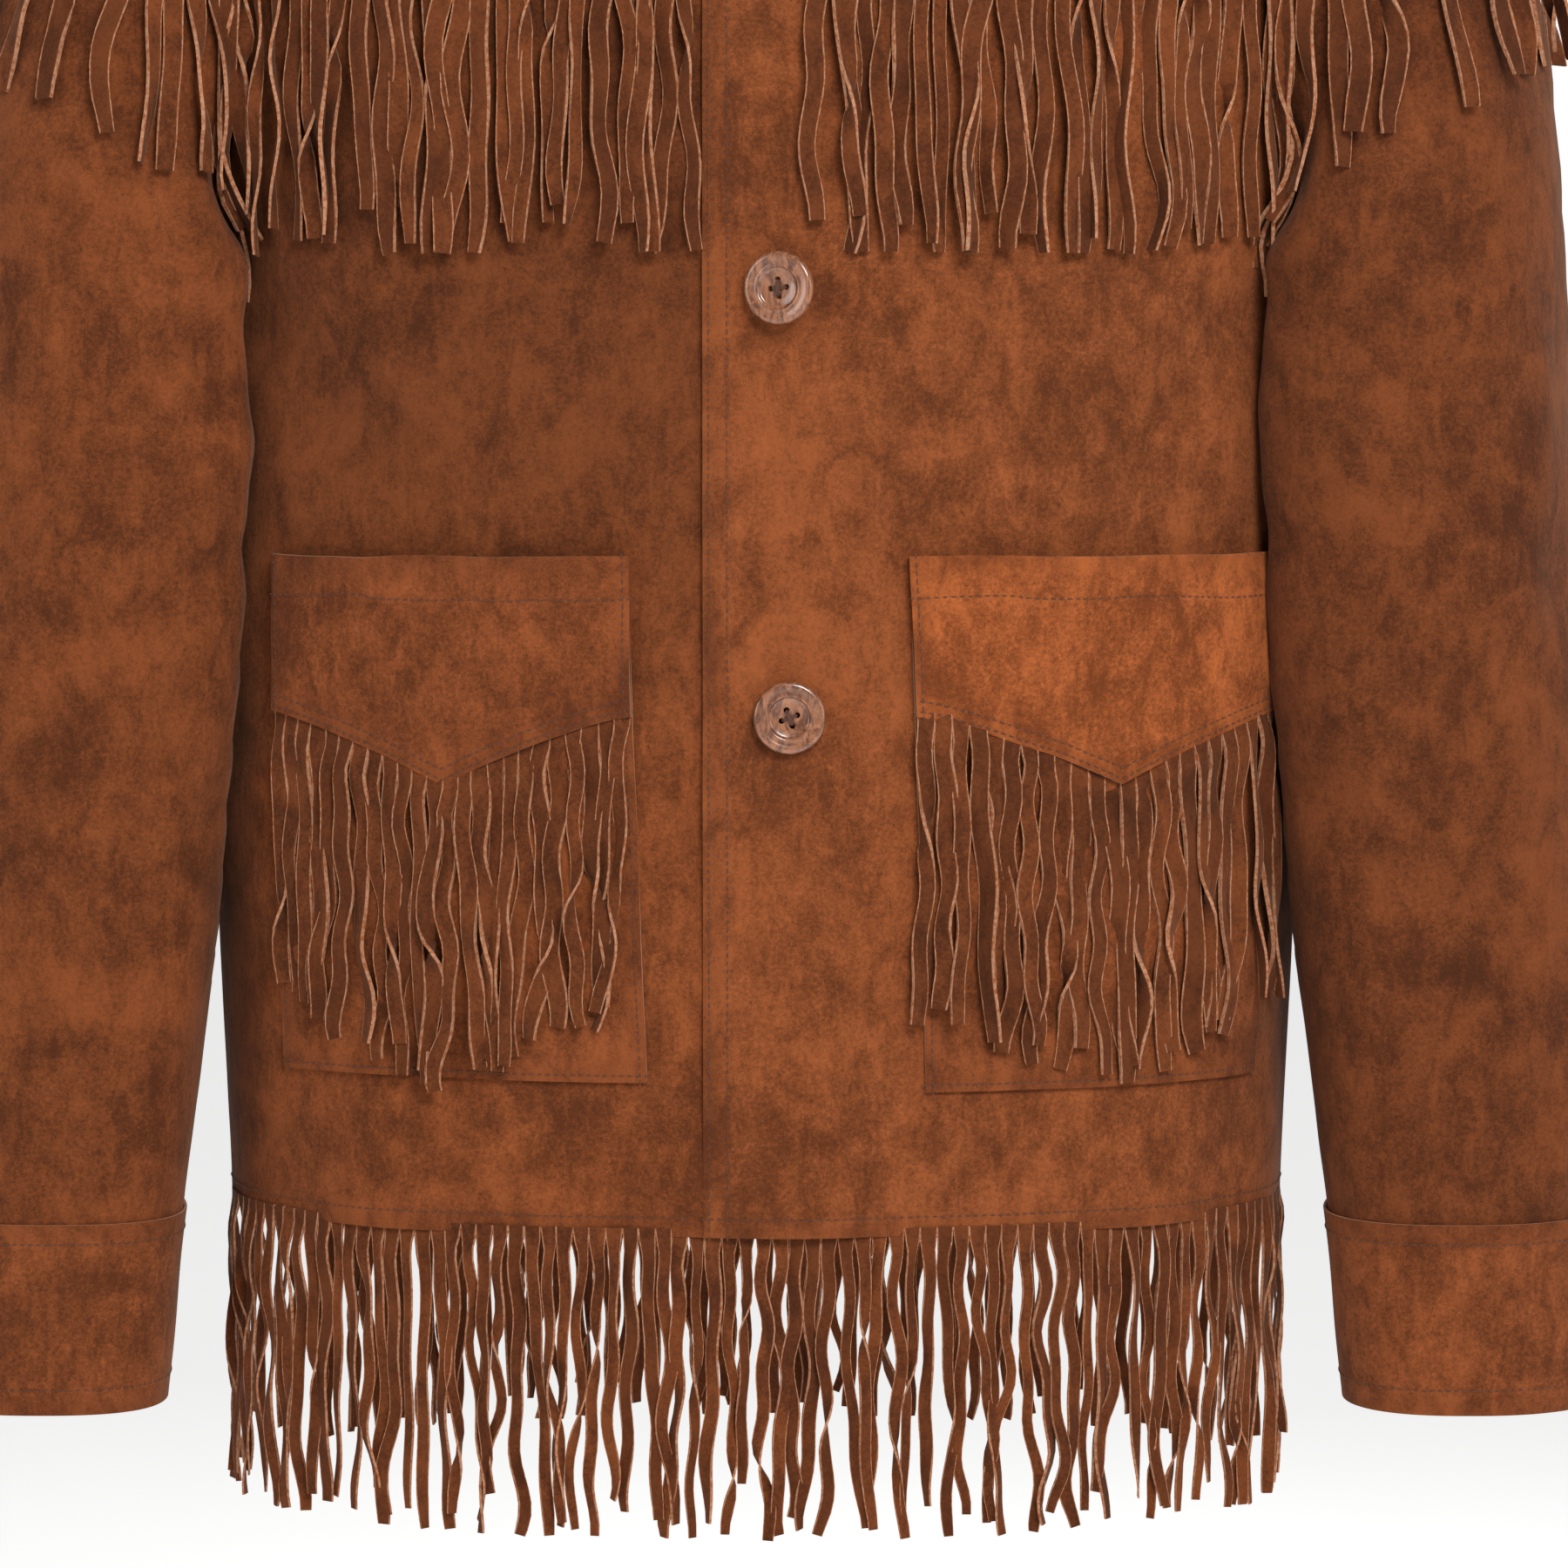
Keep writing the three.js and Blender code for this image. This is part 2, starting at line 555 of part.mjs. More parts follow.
const SLEEVE_ROWS = [-310, -370, -430, -500, -560, CUFF_END_Z + CUFF_HEIGHT - CUFF_LAP];
function sleeveSheet(side) {
  const turns = steps(SLEEVE_COLUMNS).slice(0, -1);
  const cap = steps(CAP_ROWS).map((t) => turns.map((turn) => capPoint(turn, t)));
  const hanging = SLEEVE_ROWS.map((z) => turns.map((turn) => sleeveRing(turn, z)));
  const points = [...cap, ...hanging].map((row) => row.map((p) => onSide(p, side)));
  return new Sheet(points, { loop: true, flip: side < 0 });
}

const sleeves = { left: sleeveSheet(1), right: sleeveSheet(-1) };
for (const [name, side] of Object.entries(SIDES)) {
  add(`sleeve_${name}`, wall(sleeves[name], 0, -SUEDE), "suede");
  const turns = steps(SLEEVE_COLUMNS).slice(0, -1);
  const cuffRows = steps(2, CUFF_END_Z + CUFF_HEIGHT, CUFF_END_Z);
  const cuff = new Sheet(
    cuffRows.map((z) => turns.map((turn) => onSide(sleeveRing(turn, z), side))),
    { loop: true, flip: side < 0 },
  );
  add(`cuff_${name}`, wall(cuff, GAP + SUEDE, GAP), "suede");
}

// ---------- fringe round the sleeves' caps, from yoke to yoke ----------
// Towards the top of the shoulder the strips spread less than free ones would, to cover the arm.
const CAP_FRINGE = { lift: 5, topRow: 0.2, rows: 5, columns: 16, leastDrift: 0.2 };

/** The share of a turn at which the armhole is level with the yoke seam. */
function turnAtYoke(front) {
  const turns = steps(400, front ? 0 : 1, 0.5);
  return turns.find((turn) => armholeRing(turn).z <= YOKE_Z);
}

/** The places, as fractional rows and columns, that a strip passes as it hangs down a sheet from one of them. */
function hangDown(sheet, row, column, length, count, drift) {
  const stride = 1; // millimetres
  const places = [{ row, column }];
  for (let walked = stride; walked <= length; walked += stride) {
    const here = sheet.at(row, column).point;
    const down = sheet.at(row + 0.02, column).point.sub(here).divideScalar(0.02);
    const round = sheet.at(row, column + 0.02).point.sub(here).divideScalar(0.02);
    // The least-squares fit of straight down to the sheet's two directions.
    const [dd, rr, dr] = [down.dot(down), round.dot(round), down.dot(round)];
    const determinant = dd * rr - dr * dr;
    const a = (-down.z * rr + round.z * dr) / determinant;
    const b = (-round.z * dd + down.z * dr) / determinant;
    const size = down.clone().multiplyScalar(a).addScaledVector(round, b * drift).length();
    row += (a * stride) / size;
    column += (b * drift * stride) / size;
    if (walked >= (places.length * length) / count - 1e-6) places.push({ row, column });
  }
  return places;
}

for (const [name, side] of Object.entries(SIDES)) {
  const sleeve = sleeves[name];
  const { lift, topRow, rows, columns } = CAP_FRINGE;
  const [from, to] = [turnAtYoke(false) - 1, turnAtYoke(true)].map((turn) => turn * SLEEVE_COLUMNS);
  const paths = steps(columns).map((t) => {
    const column = lerp(from, to, t);
    const drift = lerp(CAP_FRINGE.leastDrift, 1, smooth(Math.abs(column) / to));
    return hangDown(sleeve, topRow, column, CAP_FRINGE_LENGTH, rows, drift);
  });
  const fringe = sleeve.overlay(rows, columns, (i, j) => ({ ...paths[j][i], lift }));
  add(`sleeve_fringe_${name}`, wall(fringe, FRINGE, 0), "fringe");
}

// ---------- hem fringe, below each body panel ----------
const hemRows = steps(2, HEM_Z - HEM_FRINGE_LENGTH, HEM_Z - GAP);
for (const [name, side] of Object.entries(SIDES)) {
  const edge = name === "left" ? PLACKET_X : -PLACKET_X + GAP;
  const fringe = new Sheet(
    hemRows.map((z) =>
      steps(10, angleOfX(edge, z), 0).map((a) => onSide(torsoPoint("front", a, z), side)),
    ),
    { flip: side < 0 },
  ).squareTo((r, c) => c === 10);
  add(`hem_fringe_${name}`, wall(fringe, 0, -FRINGE), "fringe");
}
const hemBack = new Sheet(hemRows.map((z) => steps(16, 0, Math.PI).map((a) => torsoPoint("back", a, z))));
hemBack.points.forEach((row) => [row[0], row.at(-1)].forEach((p) => (p.y += GAP)));
hemBack.squareTo((r, c) => c % 16 === 0);
add("hem_fringe_back", wall(hemBack, 0, -FRINGE), "fringe");

// ---------- collar ----------
// A plain turned-down collar. Each column rises from the neckline to the fold and falls over the yokes.
const COLLAR = { stand: 34, frontStand: 24, fold: 5, fall: 44, spread: 42, clearance: 6.5, frontGap: 5 };

/** A point of the yokes, `down` below the neckline and `out` from the surface. Round runs from -1 to 1. */
function onYokes(round, down, out, sideways = 0) {
  const side = Math.sign(round) || 1;
  const turn = Math.abs(round) * 2; // 0 to 1 on the back, 1 to 2 on the front
  const face = turn < 1 ? "back" : "front";
  const share = turn < 1 ? turn : 2 - turn;
  const angle = (Math.PI / 2) * share;
  const [x, z] = neckline(face === "back" ? NECK.backDrop : NECK.frontDrop, share);
  const farX = x + down * Math.sin(angle) + sideways;
  const farZ = Math.min(z - down * Math.cos(angle), shoulderZ(farX) - 0.6);
  const point = torsoAtX(face, farX, farZ).addScaledVector(torsoNormal(face, farX, farZ), out);
  return onSide(point, side);
}

function collarColumn(round) {
  const { stand, frontStand, fold, fall, spread, clearance } = COLLAR;
  const nearFront = smooth((Math.abs(round) - 0.55) / 0.45);
  const neck = onYokes(round, 0, 0);
  const away = vec(neck.x, neck.y, 0).normalize();
  const lift = FRONT_LAP * nearFront;
  const height = lerp(stand, frontStand, Math.abs(round));
  const rise = (outwards, up) => neck.clone().addScaledVector(away, outwards + lift).add(vec(0, 0, up));
  const leaf = (share) => onYokes(round, fall * share, clearance + lift, spread * nearFront * share);
  return [
    onYokes(round, -2.2 - GAP, lift - SUEDE / 2),
    rise(-2.6, height * 0.5),
    rise(-1.6, height * 0.88),
    rise(fold * 0.55, height + 1.5),
    rise(fold * 1.7, height * 0.84),
    leaf(0.3),
    leaf(0.65),
    leaf(1),
  ];
}

const COLLAR_COLUMNS = 28;
const collarEnd = 1 - COLLAR.frontGap / 260;
const collarColumns = steps(COLLAR_COLUMNS, collarEnd, -collarEnd).map(collarColumn);
const collar = new Sheet(collarColumns[0].map((_, r) => collarColumns.map((column) => column[r])), { flip: true });
add("collar", wall(collar, SUEDE / 2, -SUEDE / 2), "suede");

// ---------- buttons ----------
/** A geometry as a manifold solid. */
function solidOf(geometry) {
  const bare = geometry.clone();
  bare.deleteAttribute("normal");
  bare.deleteAttribute("uv");
  const merged = mergeVertices(bare, 1e-4);
  return new wasm.Manifold(
    new wasm.Mesh({
      numProp: 3,
      vertProperties: merged.attributes.position.array,
      triVerts: new Uint32Array(merged.index.array),
    }),
  );
}
function geometryOf(solid) {
  const mesh = solid.getMesh();
  const geometry = new THREE.BufferGeometry();
  geometry.setAttribute("position", new THREE.BufferAttribute(mesh.vertProperties, 3));
  geometry.setIndex(new THREE.BufferAttribute(mesh.triVerts, 1));
  geometry.computeVertexNormals();
  return geometry;
}

/** A four-hole button with a flat rim round a sunk middle, its back at y = 0 and its face towards +Y. */
function buttonGeometry() {
  const { radius, thickness, wellRadius, wellDepth, holeRadius, holeOffset } = BUTTON;
  const outline = [
    [0, 0], [radius - 2.5, 0], [radius, 1.7], [radius - 0.4, thickness - 0.5], [radius - 1.2, thickness],
    [wellRadius + 0.6, thickness - 0.2], [wellRadius, thickness - wellDepth], [0, thickness - wellDepth - 0.4],
  ];
  let solid = solidOf(new THREE.LatheGeometry(outline.map(([x, y]) => new THREE.Vector2(x, y)), 18));
  for (let k = 0; k < 4; k++) {
    const turn = (k * Math.PI) / 2 + 0.35;
    const hole = new THREE.CylinderGeometry(holeRadius, holeRadius, 3 * thickness, 5);
    hole.translate(holeOffset * Math.cos(turn), 0, holeOffset * Math.sin(turn));
    solid = solid.subtract(solidOf(hole));
  }
  return geometryOf(solid);
}

const BUTTON_STANDOFF = 0.8; // the sewing thread holds it off the suede
for (const { name, x, z, tilt } of BUTTONS) {
  const button = add(name, buttonGeometry(), "button");
  const surface = torsoAtX("front", x, z);
  const tilted = THREE.MathUtils.degToRad(tilt);
  const outwards = FRONT_LAP + BUTTON_STANDOFF + BUTTON.radius * Math.sin(tilted);
  const lean = Math.atan2(frontDepth(z + 5) - frontDepth(z - 5), 10);
  button.position.copy(surface).add(vec(0, -outwards, 0));
  button.rotation.order = "ZXY";
  button.rotation.set(-lean, 0, Math.PI + tilted);
}

export default jacket;
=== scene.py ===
"""A hip-length suede jacket with cut fringe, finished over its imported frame.

Forms are worked out in millimetres, with +Z up, -Y out of the front and +X towards the wearer's left.
They become metres only when a mesh is made.
"""

import math
from functools import lru_cache

import bmesh
import bpy
import numpy as np
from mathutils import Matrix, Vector


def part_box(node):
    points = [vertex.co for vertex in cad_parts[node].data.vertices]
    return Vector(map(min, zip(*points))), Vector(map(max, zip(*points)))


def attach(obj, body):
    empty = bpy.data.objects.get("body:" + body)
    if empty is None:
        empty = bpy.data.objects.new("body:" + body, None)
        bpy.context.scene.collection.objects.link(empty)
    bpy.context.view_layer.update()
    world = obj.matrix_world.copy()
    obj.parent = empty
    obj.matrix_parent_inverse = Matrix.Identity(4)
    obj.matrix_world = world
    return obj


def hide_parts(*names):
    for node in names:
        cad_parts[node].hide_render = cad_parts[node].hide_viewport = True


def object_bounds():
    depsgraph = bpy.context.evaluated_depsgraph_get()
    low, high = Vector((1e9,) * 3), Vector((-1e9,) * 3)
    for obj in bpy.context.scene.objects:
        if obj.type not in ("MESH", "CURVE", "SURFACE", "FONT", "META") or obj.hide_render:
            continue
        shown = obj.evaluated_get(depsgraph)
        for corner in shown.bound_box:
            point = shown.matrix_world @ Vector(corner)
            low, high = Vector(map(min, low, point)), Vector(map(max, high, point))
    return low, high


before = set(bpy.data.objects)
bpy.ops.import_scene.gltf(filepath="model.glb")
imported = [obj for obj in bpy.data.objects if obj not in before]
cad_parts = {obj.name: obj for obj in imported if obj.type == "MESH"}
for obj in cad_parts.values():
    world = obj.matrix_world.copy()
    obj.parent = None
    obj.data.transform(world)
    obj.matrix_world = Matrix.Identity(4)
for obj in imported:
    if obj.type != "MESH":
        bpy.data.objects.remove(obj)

bl_info = {
    "name": "Fringed suede jacket",
    "version": (1, 0, 0),
    "blender": (4, 5, 0),
    "location": "View3D > Sidebar > Jacket",
    "description": "Suede shells, cut fringe, stitching, buttons and a stage for a fringed jacket",
    "category": "Object",
}

CAD_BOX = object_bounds()
MM = 0.001
SIDES = {"left": 1, "right": -1}

# ---------- sizes of the form ----------
HEM_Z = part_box("back")[0][2] / MM
YOKE_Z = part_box("back")[1][2] / MM
CUFF_END_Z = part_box("cuff_left")[0][2] / MM
CUFF_HEIGHT = 73
CUFF_LAP = 8
ARMPIT_Z = -250
NECK = {"half_width": 72, "front_drop": 80, "back_drop": 9}
SHOULDER = {"point_x": 226, "slope": 0.331, "blend": 40, "rounding": 80}
PLACKET_X = -19
UNDERLAP_X = 24
FRONT_LAP = 2.3
YOKE_FRINGE_LENGTH = 146
CAP_FRINGE_LENGTH = 150
HEM_FRINGE_LENGTH = 108
POCKET = {"top": -367, "side_edge": -426, "point": -452, "gape": 4.5, "fringe": 114}
POCKET_CORNERS = {
    "left": {"bottom": -566, "top": (57, 218), "foot": (65, 211)},
    "right": {"bottom": -562, "top": (47, 189), "foot": (40, 191)},
}
GIRTH_AT_SIDE = 268
ARMHOLE = {"front": 28, "back": 20, "power": 0.7, "gap": 1.1}
ROUNDNESS = 2.3
TORSO = {
    "z": (-740, -620, -500, -400, -300, -250, -180, -103, -50, 0),
    "half_width": (205, 207, 212, 213, 213, 214, 225, 237, 246, 252),
    "front": (121, 120, 119, 118, 119, 120, 116, 99, 84, 68),
    "back": (110, 108, 103, 102, 108, 113, 117, 110, 94, 78),
}
SLEEVE_ROUNDNESS = 2.45
SLEEVE = {
    "z": (-693, -622, -590, -500, -430, -350, -262),
    "inner": (230, 223, 219, 207, 198, 190, 188),
    "outer": (330, 330, 330, 328, 325, 320, 314),
    "middle_y": (-40, -37, -35, -30, -26, -22, -20),
    "half_depth": (50, 54, 57, 64, 70, 74, 76),
}
SLEEVE_LEAN = 0.17
SLEEVE_CLEARANCE = 8
SLEEVE_TOP_Z = SLEEVE["z"][-1]
COLLAR = {
    "stand": 34,
    "front_stand": 24,
    "fold": 5,
    "fall": 44,
    "spread": 42,
    "clearance": 6.0,
    "front_gap": 5,
}
BUTTON_PLACES = {
    "button_low": {"x": 13, "z": -426, "tilt": 0, "turn": 0.35},
    "button_middle": {"x": 10, "z": -268, "tilt": 22, "turn": 0.1},
    "button_top": {"x": 4.5, "z": -110, "tilt": 0, "turn": 0.6},
}

# ---------- sizes of the finish ----------
CUFF_GAP = 0.4
CUFF_WALL_SHARE = 0.7
OVERLAY_GAP = 0.4
SURFACE_GAP = 0.5
STITCH_PROUD = 0.12
PLACKET_INSETS = (9, 2.2)
HEM_INSET = 7
HIDDEN_UNDERLAP_SHARE = 0.17
YOKE_INSETS = {"low": 3, "last": 4, "high": 4}
POCKET_INSET = 2.6
FLAP_POINT_INSETS = (2.0, 6.0)
FLAP_INSETS = {"high": 15.5, "first": 2.4, "last": 2.4}
CUFF_INSETS = {"low": 7.5, "high": 9.6}
BACK_YOKE_INSET = 4
COLLAR_INSET = 5
BUTTON_SEGMENTS = 72
HOLE_SEGMENTS = 20
HOLE_COUNT = 4
HOLE_REACH = 3.1
FLOOR_RADIUS, FLOOR_Z = 30, -1.45

# Each crease runs from one place to another. Its depth is negative in a trough and positive on a ridge.
# On the body a place is x and z, and on a sleeve it is degrees round from the outside, by the front, and z.
CREASE_COLUMNS = ("from_a", "from_z", "to_a", "to_z", "half_width", "depth", "bow")
FRONT_CREASES = (
    (-200, -258, -112, -338, 15, -3.0, 8),
    (-204, -296, -150, -366, 12, 2.4, 5),
    (-150, -262, -92, -356, 18, 1.8, 8),
    (-62, -262, -46, -420, 20, -1.6, 6),
    (-32, -300, -36, -600, 11, 1.2, 2),
    (-120, -568, -60, -606, 16, -1.4, 3),
    (-198, -420, -196, -600, 13, -2.4, 5),
    (36, -262, 44, -410, 17, 1.6, -5),
    (200, -258, 118, -330, 15, -2.8, -8),
    (150, -270, 96, -352, 17, 1.7, -7),
    (206, -400, 200, -596, 13, -2.2, -4),
    (34, -440, 48, -604, 15, -1.7, 4),
    (64, -572, 160, -600, 17, 1.4, -3),
    (100, -290, 60, -350, 13, -1.2, 0),
)
BACK_CREASES = (
    (-196, -262, -110, -352, 16, -3.2, 9),
    (-200, -300, -96, -420, 15, 2.4, 8),
    (-130, -280, -60, -470, 20, -2.0, 8),
    (-20, -266, -14, -470, 22, 1.8, -6),
    (196, -262, 118, -340, 16, -3.0, -8),
    (202, -310, 120, -438, 14, 2.2, -9),
    (120, -290, 56, -500, 20, -2.1, -8),
    (60, -430, 72, -604, 17, 1.6, 4),
    (-70, -440, -88, -606, 18, -1.8, -4),
    (-150, -470, -160, -600, 15, 1.5, 3),
    (140, -480, 152, -600, 16, -1.7, 3),
    (0, -500, 6, -610, 18, -1.2, 2),
)
SLEEVE_CREASES = (
    (150, -262, 60, -330, 12, -3.4, 8),
    (158, -300, 50, -392, 13, 2.8, 10),
    (160, -345, 74, -430, 11, -3.0, 8),
    (120, -410, 30, -470, 14, 2.2, -8),
    (150, -450, 66, -512, 12, -2.6, 6),
    (140, -520, 76, -588, 12, 2.0, 6),
    (20, -280, 44, -420, 15, -1.8, 8),
    (88, -560, 112, -628, 9, -1.8, 2),
    (48, -570, 60, -630, 9, 1.6, 2),
    (20, -560, 12, -628, 9, -1.5, 2),
    (190, -280, 268, -352, 13, -3.4, 8),
    (186, -330, 290, -424, 14, 3.0, 9),
    (200, -395, 296, -470, 12, -3.0, 8),
    (214, -455, 300, -530, 14, 2.4, 7),
    (250, -540, 306, -604, 12, -2.2, 5),
    (330, -270, 318, -410, 16, 2.0, 8),
    (340, -430, 352, -560, 15, -1.7, -6),
    (228, -570, 236, -630, 9, 1.7, 2),
    (276, -580, 270, -630, 9, -1.6, 2),
)


# ---------- small maths ----------
def smooth(t):
    t = np.clip(t, 0, 1)
    return t * t * (3 - 2 * t)


def lerp(a, b, t):
    return a + (b - a) * t


def points_of(x, y, z):
    return np.stack(np.broadcast_arrays(x, y, z), axis=-1).astype(float)


def unit(vectors):
    return vectors / np.maximum(np.linalg.norm(vectors, axis=-1, keepdims=True), 1e-9)


def profile(table, column):
    """A smooth curve through one column of a table, over its z column."""
    zs, values = np.array(table["z"], float), np.array(table[column], float)
    low = np.maximum(np.arange(len(zs)) - 1, 0)
    high = np.minimum(np.arange(len(zs)) + 1, len(zs) - 1)
    slopes = (values[high] - values[low]) / (zs[high] - zs[low])

    def at(z):
        z = np.clip(z, zs[0], zs[-1])
        i = np.clip(np.searchsorted(zs, z, side="right") - 1, 0, len(zs) - 2)
        width = zs[i + 1] - zs[i]
        t = (z - zs[i]) / width
        return (
            values[i] * (1 + 2 * t) * (1 - t) ** 2
            + values[i + 1] * t * t * (3 - 2 * t)
            + width * t * (1 - t) * (slopes[i] * (1 - t) - slopes[i + 1] * t)
        )

    return at


# ---------- the torso's surface ----------
half_width = profile(TORSO, "half_width")
front_depth = profile(TORSO, "front")
back_depth = profile(TORSO, "back")


def shoulder_z(x):
    """Height of the shoulder seam at x."""
    return SHOULDER["slope"] * (
        math.hypot(NECK["half_width"], SHOULDER["blend"]) - np.hypot(x, SHOULDER["blend"])
    )


def torso_point(face, angle, z):
    """A point of the torso, at an angle of 0 at one side, pi/2 in the middle and pi at the other side."""
    power = 2 / ROUNDNESS
    c, s = np.cos(angle), np.abs(np.sin(angle))
    x = half_width(z) * np.sign(c) * np.abs(c) ** power
    below = np.clip((shoulder_z(x) - z) / SHOULDER["rounding"], 0, 1)
    rounding = np.sqrt(1 - (1 - below) ** 2)
    depth = -front_depth(z) if face == "front" else back_depth(z)
    return points_of(x, depth * s**power * rounding, z)


def angle_of_x(x, z):
    return np.arccos(np.sign(x) * np.minimum(1, np.abs(x) / half_width(z)) ** (ROUNDNESS / 2))


def torso_at_x(face, x, z):
    return torso_point(face, angle_of_x(x, z), z)


def torso_normal(face, x, z):
    """The outward normal, from the slopes of the surface seen as a depth over x and z."""
    step = 0.5
    out = -1 if face == "front" else 1
    slope_x = torso_at_x(face, x + step, z)[..., 1] - torso_at_x(face, x - step, z)[..., 1]
    slope_z = torso_at_x(face, x, z + step)[..., 1] - torso_at_x(face, x, z - step)[..., 1]
    return unit(points_of(-out * slope_x, out * 2 * step, -out * slope_z))


@lru_cache(maxsize=None)
def girth_table():
    """Angles, and how far each lies from the middle of the front round the waist."""
    angles = np.linspace(math.pi / 2, 0, 1200)
    points = torso_point("front", angles, -400)
    walked = np.concatenate([[0], np.cumsum(np.linalg.norm(np.diff(points, axis=0), axis=1))])
    walked[-1] = max(walked[-1], GIRTH_AT_SIDE)
    return angles, walked


def angle_of_girth(girth):
    angles, walked = girth_table()
    found = np.interp(np.abs(girth), walked, angles)
    found = np.where(np.abs(girth) >= GIRTH_AT_SIDE - 1e-6, 0, found)
    return np.where(np.asarray(girth) < 0, math.pi - found, found)


def armhole_x(face, z):
    t = np.clip((z - ARMPIT_Z) / (shoulder_z(SHOULDER["point_x"]) - ARMPIT_Z), 0, 1)
    straight = lerp(half_width(ARMPIT_Z), SHOULDER["point_x"], t)
    return straight - ARMHOLE[face] * np.sin(math.pi * t) ** ARMHOLE["power"]


def edge_angle(face, z):
    return np.where(z <= ARMPIT_Z, 0, angle_of_x(armhole_x(face, z), z))


def on_side(points, side):
    return points * np.array([side, 1, 1])


# ---------- creases ----------
def crease_field(rows, a, z, per_unit=1.0, phase=0.0):
    """How far the creases move each place out, with a gentle unevenness over all of it."""
    out = np.zeros(np.broadcast(a, z).shape)
    for row in rows:
        c = dict(zip(CREASE_COLUMNS, row))
        run_a, run_z = (c["to_a"] - c["from_a"]) * per_unit, c["to_z"] - c["from_z"]
        length = math.hypot(run_a, run_z)
        from_a, from_z = (a - c["from_a"]) * per_unit, z - c["from_z"]
        t = (from_a * run_a + from_z * run_z) / length**2
        inside = np.clip(t, 0, 1)
        aside = (from_a * run_z - from_z * run_a) / length - c["bow"] * np.sin(math.pi * inside)
        beyond = np.maximum(np.abs(t - 0.5) - 0.5, 0) * length
        width = c["half_width"] * (0.75 + 0.5 * inside)
        fade = np.sin(math.pi * np.clip(0.08 + 0.84 * t, 0, 1)) ** 0.8 * np.exp(-((beyond / 12) ** 2))
        out += c["depth"] * np.exp(-((aside / width) ** 2)) * fade
    return out + unevenness(a * per_unit, z, phase)


UNEVEN_WAVES = (
    # amplitude, wavelength, direction in degrees
    (0.55, 128, 18),
    (0.45, 96, 71),
    (0.38, 74, 128),
    (0.30, 57, 40),
    (0.24, 43, 158),
    (0.16, 31, 98),
    (0.11, 22, 12),
)


def unevenness(a, z, phase):
    out = 0
    for k, (amplitude, wavelength, degrees) in enumerate(UNEVEN_WAVES):
        along = a * math.cos(math.radians(degrees)) + z * math.sin(math.radians(degrees))
        bend = 0.6 * np.sin(2 * math.pi * (a - z) / (wavelength * 2.7) + phase + k)
        out = out + amplitude * np.sin(2 * math.pi * along / wavelength + bend + phase * (k + 1) * 1.7)
    return out


# ---------- sheets and shells ----------
class Sheet:
    """A grid of surface points, row by row, with outward normals. A loop's last column joins its first."""

    def __init__(self, points, loop=False, outward=1):
        self.points = np.asarray(points, float)
        self.loop, self.outward = loop, outward
        self.rows, self.columns = self.points.shape[:2]
        self.normals = self._normals()

    def _normals(self):
        p = self.points
        if self.loop:
            across = np.roll(p, -1, axis=1) - np.roll(p, 1, axis=1)
        else:
            across = np.concatenate(
                [p[:, 1:2] - p[:, :1], p[:, 2:] - p[:, :-2], p[:, -1:] - p[:, -2:-1]], axis=1
            )
        up = np.concatenate([p[1:2] - p[:1], p[2:] - p[:-2], p[-1:] - p[-2:-1]], axis=0)
        return unit(np.cross(across, up)) * self.outward

    def raised(self, amount):
        """A sheet like this one, moved out by an amount for each point."""
        amount = np.asarray(amount, float)
        if amount.ndim == 2:
            amount = amount[..., None]
        return Sheet(self.points + self.normals * amount, self.loop, self.outward)

    def at(self, row, column):
        """The points and normals at fractional rows and columns."""
        row = np.clip(np.asarray(row, float), 0, self.rows - 1)
        column = np.asarray(column, float)
        column = np.mod(column, self.columns) if self.loop else np.clip(column, 0, self.columns - 1)
        row, column = np.broadcast_arrays(row, column)
        r = np.minimum(np.floor(row).astype(int), self.rows - 2)
        last = self.columns - 1 if self.loop else self.columns - 2
        c = np.minimum(np.floor(column).astype(int), last)
        following = (c + 1) % self.columns
        v, u = (row - r)[..., None], (column - c)[..., None]

        def mix(grid):
            low = grid[r, c] * (1 - u) + grid[r, following] * u
            high = grid[r + 1, c] * (1 - u) + grid[r + 1, following] * u
            return low * (1 - v) + high * v

        return mix(self.points), unit(mix(self.normals))

    def cut(self):
        """The width and length that the sheet was cut to, and its area, in metres."""
        p = np.concatenate([self.points, self.points[:, :1]], axis=1) if self.loop else self.points
        across = np.linalg.norm(np.diff(p, axis=1), axis=2)
        up = np.linalg.norm(np.diff(p, axis=0), axis=2)
        area = np.linalg.norm(
            np.cross(p[:-1, 1:] - p[:-1, :-1], p[1:, :-1] - p[:-1, :-1]), axis=2
        ).sum()
        width, length = across.sum(axis=1).max() * MM, up.sum(axis=0).max() * MM
        return width, length, min(area * MM * MM, width * length)


